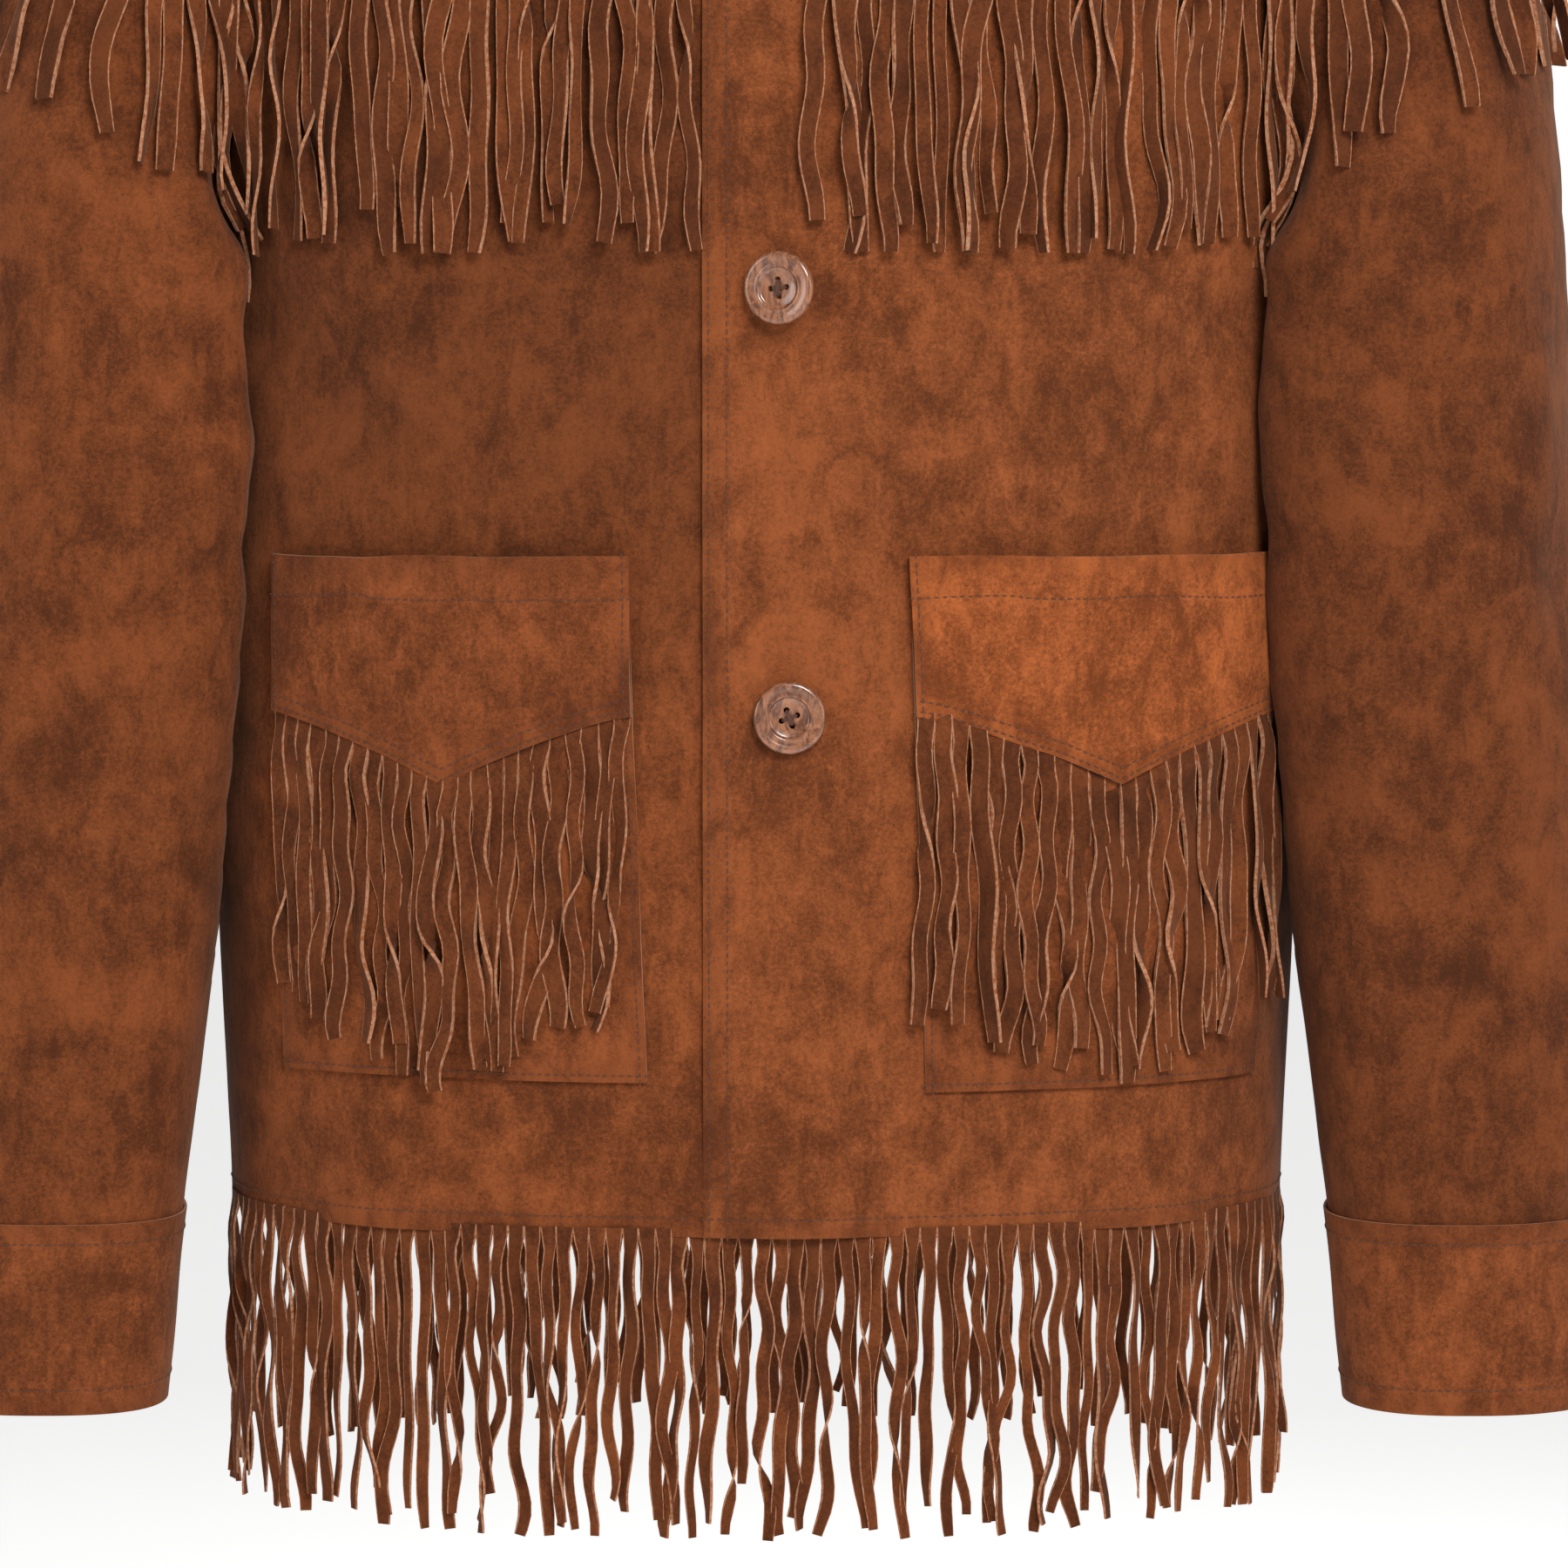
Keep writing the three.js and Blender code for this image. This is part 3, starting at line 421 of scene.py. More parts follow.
def shell(name, sheet, outer, inner):
    """A closed mesh whose faces lie `outer` and `inner` out from a sheet.

    It carries each point's distance to a free edge, and marks the faces of its rim.
    """
    rows, columns = sheet.rows, sheet.columns
    layers = [sheet.points + sheet.normals * out for out in (outer, inner)]
    verts = np.concatenate([layer.reshape(-1, 3) for layer in layers]) * MM
    across = columns if sheet.loop else columns - 1
    r, c = np.meshgrid(np.arange(rows - 1), np.arange(across), indexing="ij")
    r, c = r.ravel(), c.ravel()
    right = (c + 1) % columns
    size = rows * columns

    def index(side, row, column):
        return side * size + row * columns + column

    quads = [
        np.stack([index(0, r, c), index(0, r, right), index(0, r + 1, right), index(0, r + 1, c)], 1),
        np.stack([index(1, r, c), index(1, r + 1, c), index(1, r + 1, right), index(1, r, right)], 1),
    ]
    c = np.arange(across)
    right, top = (c + 1) % columns, rows - 1
    quads.append(np.stack([index(1, 0, c), index(1, 0, right), index(0, 0, right), index(0, 0, c)], 1))
    quads.append(
        np.stack([index(0, top, c), index(0, top, right), index(1, top, right), index(1, top, c)], 1)
    )
    if not sheet.loop:
        r, end = np.arange(rows - 1), columns - 1
        quads.append(np.stack([index(0, r, 0), index(0, r + 1, 0), index(1, r + 1, 0), index(1, r, 0)], 1))
        quads.append(
            np.stack([index(0, r, end), index(1, r, end), index(1, r + 1, end), index(0, r + 1, end)], 1)
        )
    faces = np.concatenate(quads)
    if sheet.outward < 0:
        faces = faces[:, ::-1]
    rim_from = 2 * (rows - 1) * across
    mesh = bpy.data.meshes.new(name)
    mesh.from_pydata(verts.tolist(), [], faces.tolist())
    mesh.update()
    mesh.shade_smooth()
    is_rim = np.zeros(len(faces), dtype=bool)
    is_rim[rim_from:] = True
    sharp = mesh.attributes.new("sharp_edge", "BOOLEAN", "EDGE")
    edge_of = {}
    for number, edge in enumerate(mesh.edges):
        edge_of[edge.key] = number
    flags = np.zeros(len(mesh.edges), dtype=bool)
    for face in faces[rim_from:]:
        for a, b in zip(face, np.roll(face, -1)):
            if (a < size) == (b < size):
                flags[edge_of[(min(a, b), max(a, b))]] = True
    sharp.data.foreach_set("value", flags)
    edge = mesh.attributes.new("from_edge", "FLOAT", "POINT")
    edge.data.foreach_set("value", np.tile(distance_to_edge(sheet).ravel(), 2))
    rim = mesh.attributes.new("rim", "FLOAT", "FACE")
    rim.data.foreach_set("value", is_rim.astype(float))
    return link(name, mesh)


def distance_to_edge(sheet):
    """How far each point is from its sheet's nearest edge, in metres, along its row or column."""
    p = sheet.points

    def walked(axis):
        steps = np.linalg.norm(np.diff(p, axis=axis), axis=2)
        start = np.zeros_like(np.take(steps, [0], axis=axis))
        forward = np.concatenate([start, np.cumsum(steps, axis=axis)], axis=axis)
        total = np.take(forward, [-1], axis=axis)
        return np.minimum(forward, total - forward)

    up = walked(0)
    return (up if sheet.loop else np.minimum(up, walked(1))) * MM


def link(name, mesh):
    obj = bpy.data.objects.new(name, mesh)
    bpy.context.scene.collection.objects.link(obj)
    return obj


def dress(obj, material, slot, *nodes):
    """Gives a piece its material and lets it stand for the named solids; the slot is not used."""
    if material:
        obj.data.materials.clear()
        obj.data.materials.append(material)
    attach(obj, "root")
    if nodes:
        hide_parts(*nodes)
    return obj


def cloth_piece(name, sheet, outer, inner, material):
    """A shell that stands for the solid of its name."""
    obj = dress(shell(f"{name}_suede", sheet, outer, inner), material, "suede", name)
    width, length, area = sheet.cut()
    return obj


# ---------- the panels' sheets ----------
def lap_lift(side, x):
    """How far the upper front stands off the lower one, dying away beyond the overlap."""
    return FRONT_LAP * (1 - smooth((x - 28) / 50)) if side > 0 else 0 * x


FRONT_STEP = 3.6
FRONT_ZS = np.linspace(HEM_Z, YOKE_Z, int((YOKE_Z - HEM_Z) / FRONT_STEP))


def girths_of(name):
    start = PLACKET_X if name == "left" else -UNDERLAP_X
    return np.linspace(start, GIRTH_AT_SIDE, int((GIRTH_AT_SIDE - start) / FRONT_STEP))


def front_angle(girth, z):
    """The angle of a place a girth from the middle: straight below the neck, then even to the side."""
    squeeze = (math.pi / 2 - edge_angle("front", z)) / (math.pi / 2)
    even = math.pi / 2 - (math.pi / 2 - angle_of_girth(girth)) * squeeze
    straight = angle_of_x(np.clip(girth, -60, 60), z)
    return lerp(straight, even, smooth((np.abs(girth) - 25) / 30))


@lru_cache(maxsize=None)
def front_sheet(name):
    side = SIDES[name]
    girth, z = np.meshgrid(girths_of(name), FRONT_ZS)
    points = on_side(torso_point("front", front_angle(girth, z), z), side)
    plain = Sheet(points, outward=side)
    x = plain.points[..., 0]
    depth = bpy.context.scene.jacket_suede.crease_depth
    calm = 0.25 + 0.75 * smooth((np.abs(girth) - 6) / 30)
    calm = calm * smooth((z - HEM_Z + 8) / 40) * smooth((YOKE_Z - z) / 30)
    at_side = smooth((GIRTH_AT_SIDE - girth) / 22)
    lift = crease_field(FRONT_CREASES, x, z, phase=0.4 + side) * calm * at_side * depth
    hem = hem_wave(girth + 300 * (side < 0), z)
    return plain.raised(lift + hem * at_side + lap_lift(side, x))


def hem_wave(along, z):
    """The hem's own slight waves, which die away above it."""
    wave = 1.4 * np.sin(along / 23 + 1.1) + 0.9 * np.sin(along / 11.5 + 0.3)
    return wave * (1 - smooth((z - HEM_Z) / 70))


BACK_ZS = FRONT_ZS
BACK_COLUMNS = 150


@lru_cache(maxsize=None)
def back_sheet():
    share, z = np.meshgrid(np.linspace(0, 1, BACK_COLUMNS), BACK_ZS)
    edge = edge_angle("back", z)
    points = torso_point("back", lerp(edge, math.pi - edge, share), z)
    points[..., 1] += 0.5 * ((share == 0) | (share == 1)) * (points[..., 1] < 1)
    plain = Sheet(points)
    depth = bpy.context.scene.jacket_suede.crease_depth
    ends = smooth(np.minimum(share, 1 - share) * 16) * smooth((YOKE_Z - z) / 30)
    lift = crease_field(BACK_CREASES, points[..., 0], z, phase=2.2) * ends * depth
    return plain.raised(lift + hem_wave(share * 536 + 90, z) * ends)


def neckline(drop, share):
    angle = math.pi / 2 * share
    return NECK["half_width"] * np.sin(angle), -drop * np.cos(angle)


def inside_patch(bottom, top, start, end, u, v):
    """Places inside four edges, each of which gives x and z for a share of 0 to 1."""
    b, t, s, e = bottom(u), top(u), start(v), end(v)
    corners = [bottom(0), bottom(1), top(0), top(1)]
    return [
        (1 - v) * b[k] + v * t[k] + (1 - u) * s[k] + u * e[k]
        - (1 - u) * (1 - v) * corners[0][k] - u * (1 - v) * corners[1][k]
        - (1 - u) * v * corners[2][k] - u * v * corners[3][k]
        for k in (0, 1)
    ]


def armhole_edge(face, v):
    z = lerp(YOKE_Z + 0.5, shoulder_z(SHOULDER["point_x"]), v)
    return armhole_x(face, z), z


def shoulder_seam(share):
    x = lerp(NECK["half_width"], SHOULDER["point_x"], share)
    return x, shoulder_z(x)


def towards_shoulder(v):
    return 1 - (1 - v) ** 1.7


@lru_cache(maxsize=None)
def yoke_sheet(name):
    side = SIDES[name]
    edge_x = PLACKET_X if name == "left" else -UNDERLAP_X
    low = YOKE_Z + SURFACE_GAP
    neck_share = math.asin(edge_x / NECK["half_width"]) / (math.pi / 2)
    straight = 0.2
    neck_z = float(neckline(NECK["front_drop"], neck_share)[1])

    def front_edge(v):
        v = np.asarray(v, float)
        share = lerp(neck_share, 1, np.clip((v - straight) / (1 - straight), 0, 1))
        x, z = neckline(NECK["front_drop"], share)
        below = v < straight
        return np.where(below, edge_x, x), np.where(below, lerp(low, neck_z, v / straight), z)

    u, v = np.meshgrid(np.linspace(0, 1, 62), towards_shoulder(np.linspace(0, 1, 44)))
    x, z = inside_patch(
        lambda u: (lerp(edge_x, armhole_x("front", low), u), low + 0 * u),
        shoulder_seam,
        front_edge,
        lambda v: armhole_edge("front", v),
        u,
        v,
    )
    points = torso_at_x("front", x, z)
    points[-1, :, 1] = -0.3
    plain = Sheet(on_side(points, side), outward=side)
    amount = lap_lift(side, plain.points[..., 0]) * (v < 1)
    return plain.raised(amount + 0.5 * unevenness(x, z, 1.0) * smooth(4 * v) * smooth(4 * (1 - v)))


@lru_cache(maxsize=None)
def back_yoke_sheet():
    along_shoulder, along_neck = 46, 48
    low = YOKE_Z + SURFACE_GAP
    seam = np.linspace(1, 0, along_shoulder)
    shares = np.linspace(1, -1, along_neck)[1:-1]
    seam_x, seam_z = shoulder_seam(seam)
    neck_x, neck_z = neckline(NECK["back_drop"], shares)
    top_x = np.concatenate([seam_x, neck_x, -seam_x[::-1]])
    top_z = np.concatenate([seam_z, -NECK["back_drop"] * np.cos(math.pi / 2 * shares), seam_z[::-1]])
    us = np.linspace(0, 1, len(top_x))
    u, v = np.meshgrid(us, towards_shoulder(np.linspace(0, 1, 44)))
    x, z = inside_patch(
        lambda u: (armhole_x("back", low) * (1 - 2 * u), low + 0 * u),
        lambda u: (np.interp(u, us, top_x), np.interp(u, us, top_z)),
        lambda v: armhole_edge("back", v),
        lambda v: (-armhole_edge("back", v)[0], armhole_edge("back", v)[1]),
        u,
        v,
    )
    points = torso_at_x("back", x, z)
    on_shoulder = np.abs(x[-1]) >= NECK["half_width"] - 0.01
    points[-1, on_shoulder, 1] = 0.3
    return Sheet(points).raised(0.5 * unevenness(x, z, 3.0) * smooth(4 * v) * smooth(4 * (1 - v)))


# ---------- sleeves ----------
sleeve_inner = profile(SLEEVE, "inner")
sleeve_outer = profile(SLEEVE, "outer")
sleeve_middle_y = profile(SLEEVE, "middle_y")
sleeve_half_depth = profile(SLEEVE, "half_depth")
SLEEVE_COLUMNS = 100
CAP_ROWS = 34


def clear_of_body(points):
    """Moves points out sideways until they clear the body, where they are below the armpit."""
    x, y, z = points[..., 0], points[..., 1], points[..., 2]
    reach = np.abs(y) / np.where(y < 0, front_depth(z), back_depth(z))
    body_x = half_width(z) * (1 - np.minimum(reach, 1) ** ROUNDNESS) ** (1 / ROUNDNESS)
    pressed = np.maximum(x, body_x + SLEEVE_CLEARANCE)
    points[..., 0] = np.where((reach < 1) & (z < ARMPIT_Z), pressed, x)
    return points


def sleeve_ring(turn, z):
    """The hanging sleeve at height z. Turn 0 is outside, 1/4 front, 1/2 inside and 3/4 back."""
    power = 2 / SLEEVE_ROUNDNESS
    c, s = np.cos(2 * math.pi * turn), np.sin(2 * math.pi * turn)
    inner, outer = sleeve_inner(z), sleeve_outer(z)
    across = (outer - inner) / 2 * np.sign(c) * np.abs(c) ** power
    forward = sleeve_half_depth(z) * np.sign(s) * np.abs(s) ** power
    x = (inner + outer) / 2 + across - SLEEVE_LEAN * forward
    return clear_of_body(points_of(x, sleeve_middle_y(z) - forward, z))


@lru_cache(maxsize=None)
def armhole_halves():
    """The armhole's front and back edges from the shoulder point down, with how far along each point is."""
    halves = []
    for face in ("front", "back"):
        z = np.linspace(float(shoulder_z(SHOULDER["point_x"])), ARMPIT_Z, 400)
        points = torso_at_x(face, armhole_x(face, z), z)
        walked = np.concatenate([[0], np.cumsum(np.linalg.norm(np.diff(points, axis=0), axis=1))])
        halves.append((points, walked / walked[-1]))
    return halves


def armhole_ring(turn):
    turn = np.mod(turn, 1)
    (front, front_share), (back, back_share) = armhole_halves()
    on_front = np.stack([np.interp(2 * turn, front_share, front[:, k]) for k in range(3)], -1)
    on_back = np.stack([np.interp(2 - 2 * turn, back_share, back[:, k]) for k in range(3)], -1)
    return np.where((turn <= 0.5)[..., None], on_front, on_back)


def cap_points(turn, t):
    """The sleeve's cap, from the armhole out over the arm and down."""
    start, end = armhole_ring(turn), sleeve_ring(turn, SLEEVE_TOP_Z + 0 * turn)
    reach = np.linalg.norm(end - start, axis=-1, keepdims=True)
    leave = unit(points_of(0.88, 0.5 * start[..., 1] / 75, -0.38))
    start = start + leave * ARMHOLE["gap"]
    first = start + leave * 0.36 * reach
    last = end + np.array([-0.02, 0, 0.42]) * reach
    t = t[..., None]
    return (1 - t) ** 3 * start + 3 * t * (1 - t) ** 2 * first + 3 * t * t * (1 - t) * last + t**3 * end


@lru_cache(maxsize=None)
def plain_sleeve():
    """The left sleeve's sheet before its creases, and the height each of its hanging rows has."""
    turns = np.arange(SLEEVE_COLUMNS) / SLEEVE_COLUMNS
    turn, t = np.meshgrid(turns, np.linspace(0, 1, CAP_ROWS))
    end = CUFF_END_Z + CUFF_HEIGHT - CUFF_LAP
    heights = np.linspace(SLEEVE_TOP_Z, end, int((SLEEVE_TOP_Z - end) / FRONT_STEP))[1:]
    hanging = sleeve_ring(*np.meshgrid(turns, heights))
    return np.concatenate([cap_points(turn, t), hanging]), turns


@lru_cache(maxsize=None)
def sleeve_sheet(name):
    side = SIDES[name]
    points, turns = plain_sleeve()
    z = points[..., 2]
    degrees = 360 * turns[None, :] + 0 * z
    girth = 1.12
    mirrored = degrees if side > 0 else degrees + 9 * np.sin(z / 37)
    field = crease_field(SLEEVE_CREASES, mirrored, z + (0 if side > 0 else 13), girth, phase=side * 1.3)
    row = np.arange(len(points))[:, None]
    fade = smooth(row / 16) * smooth((len(points) - 1 - row) / 9)
    inner = 1 - 0.8 * np.exp(-(((degrees - 180) / 40) ** 2))
    depth = bpy.context.scene.jacket_suede.crease_depth
    sheet = Sheet(on_side(points, side), loop=True, outward=side)
    return sheet.raised(field * fade * inner * depth)


# ---------- collar ----------
def on_yokes(round_share, down, out, sideways=0.0):
    """A point of the yokes, `down` below the neckline. The share runs from -1 to 1, round the back."""
    side = 1 if round_share >= 0 else -1
    turn = abs(round_share) * 2
    face, share = ("back", turn) if turn < 1 else ("front", 2 - turn)
    angle = math.pi / 2 * share
    x, z = neckline(NECK["back_drop"] if face == "back" else NECK["front_drop"], share)
    far_x = x + down * math.sin(angle) + sideways
    far_z = min(z - down * math.cos(angle), float(shoulder_z(far_x)) - 0.6)
    point = torso_at_x(face, far_x, far_z) + torso_normal(face, far_x, far_z) * out
    return on_side(point, side)


def collar_column(share):
    near_front = float(smooth((abs(share) - 0.55) / 0.45))
    neck = on_yokes(share, 0, 0)
    away = unit(neck * np.array([1, 1, 0]))
    lift = FRONT_LAP * near_front
    height = lerp(COLLAR["stand"], COLLAR["front_stand"], abs(share))
    fold, fall = COLLAR["fold"], COLLAR["fall"]

    def rise(outwards, up):
        return neck + away * (outwards + lift) + np.array([0, 0, up])

    def leaf(part):
        sideways = COLLAR["spread"] * near_front * part
        return on_yokes(share, fall * part, COLLAR["clearance"] + lift, sideways)

    return [
        on_yokes(share, -2.7, lift - 0.8),
        rise(-2.6, height * 0.5),
        rise(-1.6, height * 0.88),
        rise(fold * 0.55, height + 1.5),
        rise(fold * 1.7, height * 0.84),
        leaf(0.3),
        leaf(0.65),
        leaf(1),
    ]


def catmull(points, count):
    """A smooth curve through rows of points, with an even number of rows between each two."""
    p = np.concatenate([[2 * points[0] - points[1]], points, [2 * points[-1] - points[-2]]])
    rows = []
    for i in range(len(points) - 1):
        a, b, c, d = p[i : i + 4]
        for k in range(count):
            t = k / count
            rows.append(
                0.5
                * (
                    2 * b
                    + (c - a) * t
                    + (2 * a - 5 * b + 4 * c - d) * t**2
                    + (3 * b - a - 3 * c + d) * t**3
                )
            )
    rows.append(points[-1])
    return np.array(rows)


@lru_cache(maxsize=None)
def collar_sheet():
    end = 1 - COLLAR["front_gap"] / 260
    columns = np.array([collar_column(share) for share in np.linspace(end, -end, 110)])
    return Sheet(catmull(np.swapaxes(columns, 0, 1), 7), outward=-1)


# ---------- pockets ----------
def pocket_edge_z(across):
    """The pocket yoke's lower edge: shallow at the sides, then steeper to the point."""
    share = (1 - np.abs(2 * across - 1)) ** 1.35
    return lerp(POCKET["side_edge"], POCKET["point"], share)


def pocket_gape(z, across):
    mouth = smooth((z - POCKET["top"] + 60) / 60) * np.sqrt(np.sin(math.pi * np.clip(across, 0, 1)))
    belly = np.sin(math.pi * np.clip(across, 0, 1)) * np.exp(-(((z + 500) / 60) ** 2))
    return POCKET["gape"] * mouth + 0.9 * belly


def pocket_places(name, across, z):
    """Where places of a pocket are in its front's rows and columns."""
    corners = POCKET_CORNERS[name]
    t = np.clip((z - corners["bottom"]) / (POCKET["top"] - corners["bottom"]), 0, 1)
    inner = lerp(corners["foot"][0], corners["top"][0], t)
    outer = lerp(corners["foot"][1], corners["top"][1], t)
    girths = girths_of(name)
    row = np.interp(z, FRONT_ZS, np.arange(len(FRONT_ZS)))
    return row, np.interp(lerp(inner, outer, across), girths, np.arange(len(girths)))


def pocket_sheet(name, low, high, rows, columns, lift):
    """A sheet on a pocket between two heights, which may be functions of the way across."""
    across, up = np.meshgrid(np.linspace(0, 1, columns), np.linspace(0, 1, rows))
    z = lerp(low(across), high(across), up)
    points, normals = front_sheet(name).at(*pocket_places(name, across, z))
    amount = lift + pocket_gape(z, across)
    return Sheet(points + normals * amount[..., None], outward=SIDES[name])


@lru_cache(maxsize=None)
def pocket_patch(name):
    bottom = POCKET_CORNERS[name]["bottom"]
    return pocket_sheet(name, lambda a: bottom + 0 * a, lambda a: POCKET["top"] + 0 * a, 70, 56, 0.4)


@lru_cache(maxsize=None)
def pocket_yoke(name):
    return pocket_sheet(name, pocket_edge_z, lambda a: POCKET["top"] + 0.6 + 0 * a, 34, 73, 2.9)


# ---------- node trees ----------
def new_input(tree, name, kind, default=None):
    socket = tree.interface.new_socket(name, in_out="INPUT", socket_type=kind)
    if default is not None:
        socket.default_value = default
    return socket.identifier


class Tree:
    """A node tree that is written one call at a time."""

    def __init__(self, tree):
        self.tree = tree

    def node(self, kind, settings=None, **sockets):
        """Adds a node, sets it, then fills the sockets named, with _ for a space, or numbered as in1."""
        made = self.tree.nodes.new(kind)
        for name, value in (settings or {}).items():
            setattr(made, name, value)
        for name, value in sockets.items():
            key = int(name[2:]) if name[:2] == "in" and name[2:].isdigit() else name.replace("_", " ")
            self.fill(made.inputs[key], value)
        return made

    def fill(self, socket, value):
        value = getattr(value, "socket", value)
        if isinstance(value, bpy.types.Node):
            value = next(out for out in value.outputs if out.enabled)
        if isinstance(value, bpy.types.NodeSocket):
            self.tree.links.new(value, socket)
        else:
            socket.default_value = value

    def math(self, operation, *values):
        made = self.node("ShaderNodeMath", {"operation": operation})
        for socket, value in zip(made.inputs, values):
            self.fill(socket, value)
        return Number(self, made.outputs[0])


class Number:
    """A socket that adds its Math nodes as it is used in an expression."""

    def __init__(self, tree, socket):
        self.tree, self.socket = tree, socket

    def __add__(self, other):
        return self.tree.math("ADD", self, other)

    __radd__ = __add__

    def __sub__(self, other):
        return self.tree.math("SUBTRACT", self, other)

    def __rsub__(self, other):
        return self.tree.math("SUBTRACT", other, self)

    def __mul__(self, other):
        return self.tree.math("MULTIPLY", self, other)

    __rmul__ = __mul__

    def __pow__(self, other):
        return self.tree.math("POWER", self, other)

    def absolute(self):
        return self.tree.math("ABSOLUTE", self)

    def above(self, low, high):
        """0 below low and 1 above high, with a smooth step between."""
        made = self.tree.node("ShaderNodeMapRange", {"interpolation_type": "SMOOTHSTEP"})
        for socket, value in zip(made.inputs, (self, low, high, 0.0, 1.0)):
            self.tree.fill(socket, value)
        return Number(self.tree, made.outputs[0])


class Shader(Tree):
    """A material's tree, with its one shader."""

    def __init__(self, name, constants):
        material = bpy.data.materials.new(name)
        material.use_nodes = True
        super().__init__(material.node_tree)
        self.material = material
        self.shader = self.tree.nodes["Principled BSDF"]
        for key, value in constants.items():
            self.shader.inputs[key].default_value = value
        self.place = self.node("ShaderNodeTexCoord").outputs["Object"]

    def noise(self, scale, detail=4.0, roughness=0.55, distortion=0.0, stretch=None, shift=0.0):
        place = self.place
        if stretch or shift:
            place = self.node(
                "ShaderNodeMapping",
                Vector=place,
                Location=(shift, shift * 0.7, shift * 1.3),
                Scale=stretch or (1, 1, 1),
            )
        made = self.node(
            "ShaderNodeTexNoise",
            Vector=place,
            Scale=scale,
            Detail=detail,
            Roughness=roughness,
            Distortion=distortion,
        )
        return Number(self, made.outputs["Fac"])

    def attribute(self, name):
        return Number(self, self.node("ShaderNodeAttribute", {"attribute_name": name}).outputs["Fac"])

    def mix(self, share, a, b, blend="MIX"):
        made = self.node("ShaderNodeMix", {"data_type": "RGBA", "blend_type": blend})
        self.fill(made.inputs[0], share)
        self.fill(made.inputs[6], a)
        self.fill(made.inputs[7], b)
        return made.outputs[2]

    def finish(self, colour=None, roughness=None, bumps=()):
        """Links the colour, roughness and a chain of bumps, each a height, strength and distance."""
        if colour is not None:
            self.fill(self.shader.inputs["Base Color"], colour)
        if roughness is not None:
            self.fill(self.shader.inputs["Roughness"], roughness)
        normal = None
        for height, strength, distance in bumps:
            bump = self.node("ShaderNodeBump", Height=height, Strength=strength, Distance=distance)
            if normal:
                self.fill(bump.inputs["Normal"], normal)
            normal = bump.outputs[0]
        if normal:
            self.fill(self.shader.inputs["Normal"], normal)
        return self.material


def rgba(colour, scale=1.0):
    return tuple(min(2.0, channel * scale) for channel in colour[:3]) + (1.0,)


def suede_colour(shader, settings, shift):
    """The hide's own colour: clouds, smaller blotches, brushed nap and fine grain."""
    clouds = shader.noise(15, 3, 0.55, 0.7, shift=shift)
    blotches = shader.noise(52, 4, 0.6, 0.5, shift=shift + 3)
    strokes = shader.noise(120, 3, 0.6, 0.9, stretch=(1, 1, 0.45), shift=shift + 7)
    grain = shader.noise(620, 3, 0.65, shift=shift + 1)
    flecks = shader.noise(1700, 2, 0.6)
    mottle = clouds * 0.6 + blotches * 0.6 + strokes * 0.55 + grain * 0.6 + flecks * 0.45
    tone = mottle.above(1.1, 1.7)
    colour = shader.mix(tone, rgba(settings.dark), rgba(settings.light))
    scuffs = (blotches * 0.6 + grain * 0.5).above(0.62, 0.82) * 0.35
    return shader.mix(scuffs, colour, rgba(settings.scuffed)), grain, flecks, strokes


SUEDE_CONSTANTS = {
    "Sheen Weight": 0.08,
    "Sheen Roughness": 0.45,
    "Sheen Tint": (1.0, 0.62, 0.42, 1.0),
    "Specular IOR Level": 0.16,
}


@lru_cache(maxsize=None)
def suede(name, shift, tint, upper=1.0):
    """Napped hide, paler at a cut rim; painted shade darkens the fronts above the pockets, and painted shade
    mixed with wear darkens it near the seams.
    """
    settings = bpy.context.scene.jacket_suede
    shader = Shader(name, SUEDE_CONSTANTS)
    colour, grain, flecks, strokes = suede_colour(shader, settings, shift)
    colour = shader.mix(1.0, colour, rgba(tint), "MULTIPLY")
    # Painted shade of the chest fringe, partly the hide's own darker tone: a front darkens above its pockets
    # by the factor upper.
    height = Number(shader, shader.node("ShaderNodeSeparateXYZ", Vector=shader.place).outputs["Z"])
    darker = shader.mix(1.0, colour, rgba((upper,) * 3), "MULTIPLY")
    colour = shader.mix(height.above(-0.48, -0.31), colour, darker)
    # Painted shade mixed with wear: the hide darkens near each piece's free edges and seams, broken up by the
    # grain.
    near = 1 - shader.attribute("from_edge").above(0.0005, 0.012)
    edge_shade_and_wear = near * grain.above(0.35, 0.75) * 0.35
    colour = shader.mix(edge_shade_and_wear, colour, rgba(settings.dark, 0.75))
    colour = shader.mix(shader.attribute("rim") * 0.8, colour, rgba(settings.cut_edge, 0.75))
    roughness = 0.86 + 0.1 * grain
    return shader.finish(
        colour,
        roughness,
        [(strokes, 0.35, 0.0012), (grain, 0.5, 0.0007), (flecks, 0.55, 0.0003)],
    )


@lru_cache(maxsize=None)
def strip_suede():
    """Cut strips: the hide's colour, a tone for each strip, and pale raw edges."""
    settings = bpy.context.scene.jacket_suede
    shader = Shader("strip_suede", SUEDE_CONSTANTS)
    colour, grain, flecks, _ = suede_colour(shader, settings, 11)
    tone = shader.attribute("tone")
    colour = shader.mix(1.0, colour, rgba((0.66, 0.65, 0.64)), "MULTIPLY")
    colour = shader.mix(tone.above(0.0, 1.0) * 0.5, colour, rgba(settings.dark, 0.6))
    wander = (shader.noise(260, 2) - 0.5) * 0.16
    side = shader.attribute("across").absolute() + wander
    pale = side.above(0.8, 0.97)
    edge_tone = shader.mix(grain.above(0.35, 0.7), rgba(settings.cut_edge), rgba(settings.light, 1.15))
    colour = shader.mix(pale * 0.85, colour, edge_tone)
    return shader.finish(
        colour, 0.88 + 0.08 * grain, [(grain, 0.5, 0.0007), (flecks, 0.5, 0.0003)]
    )


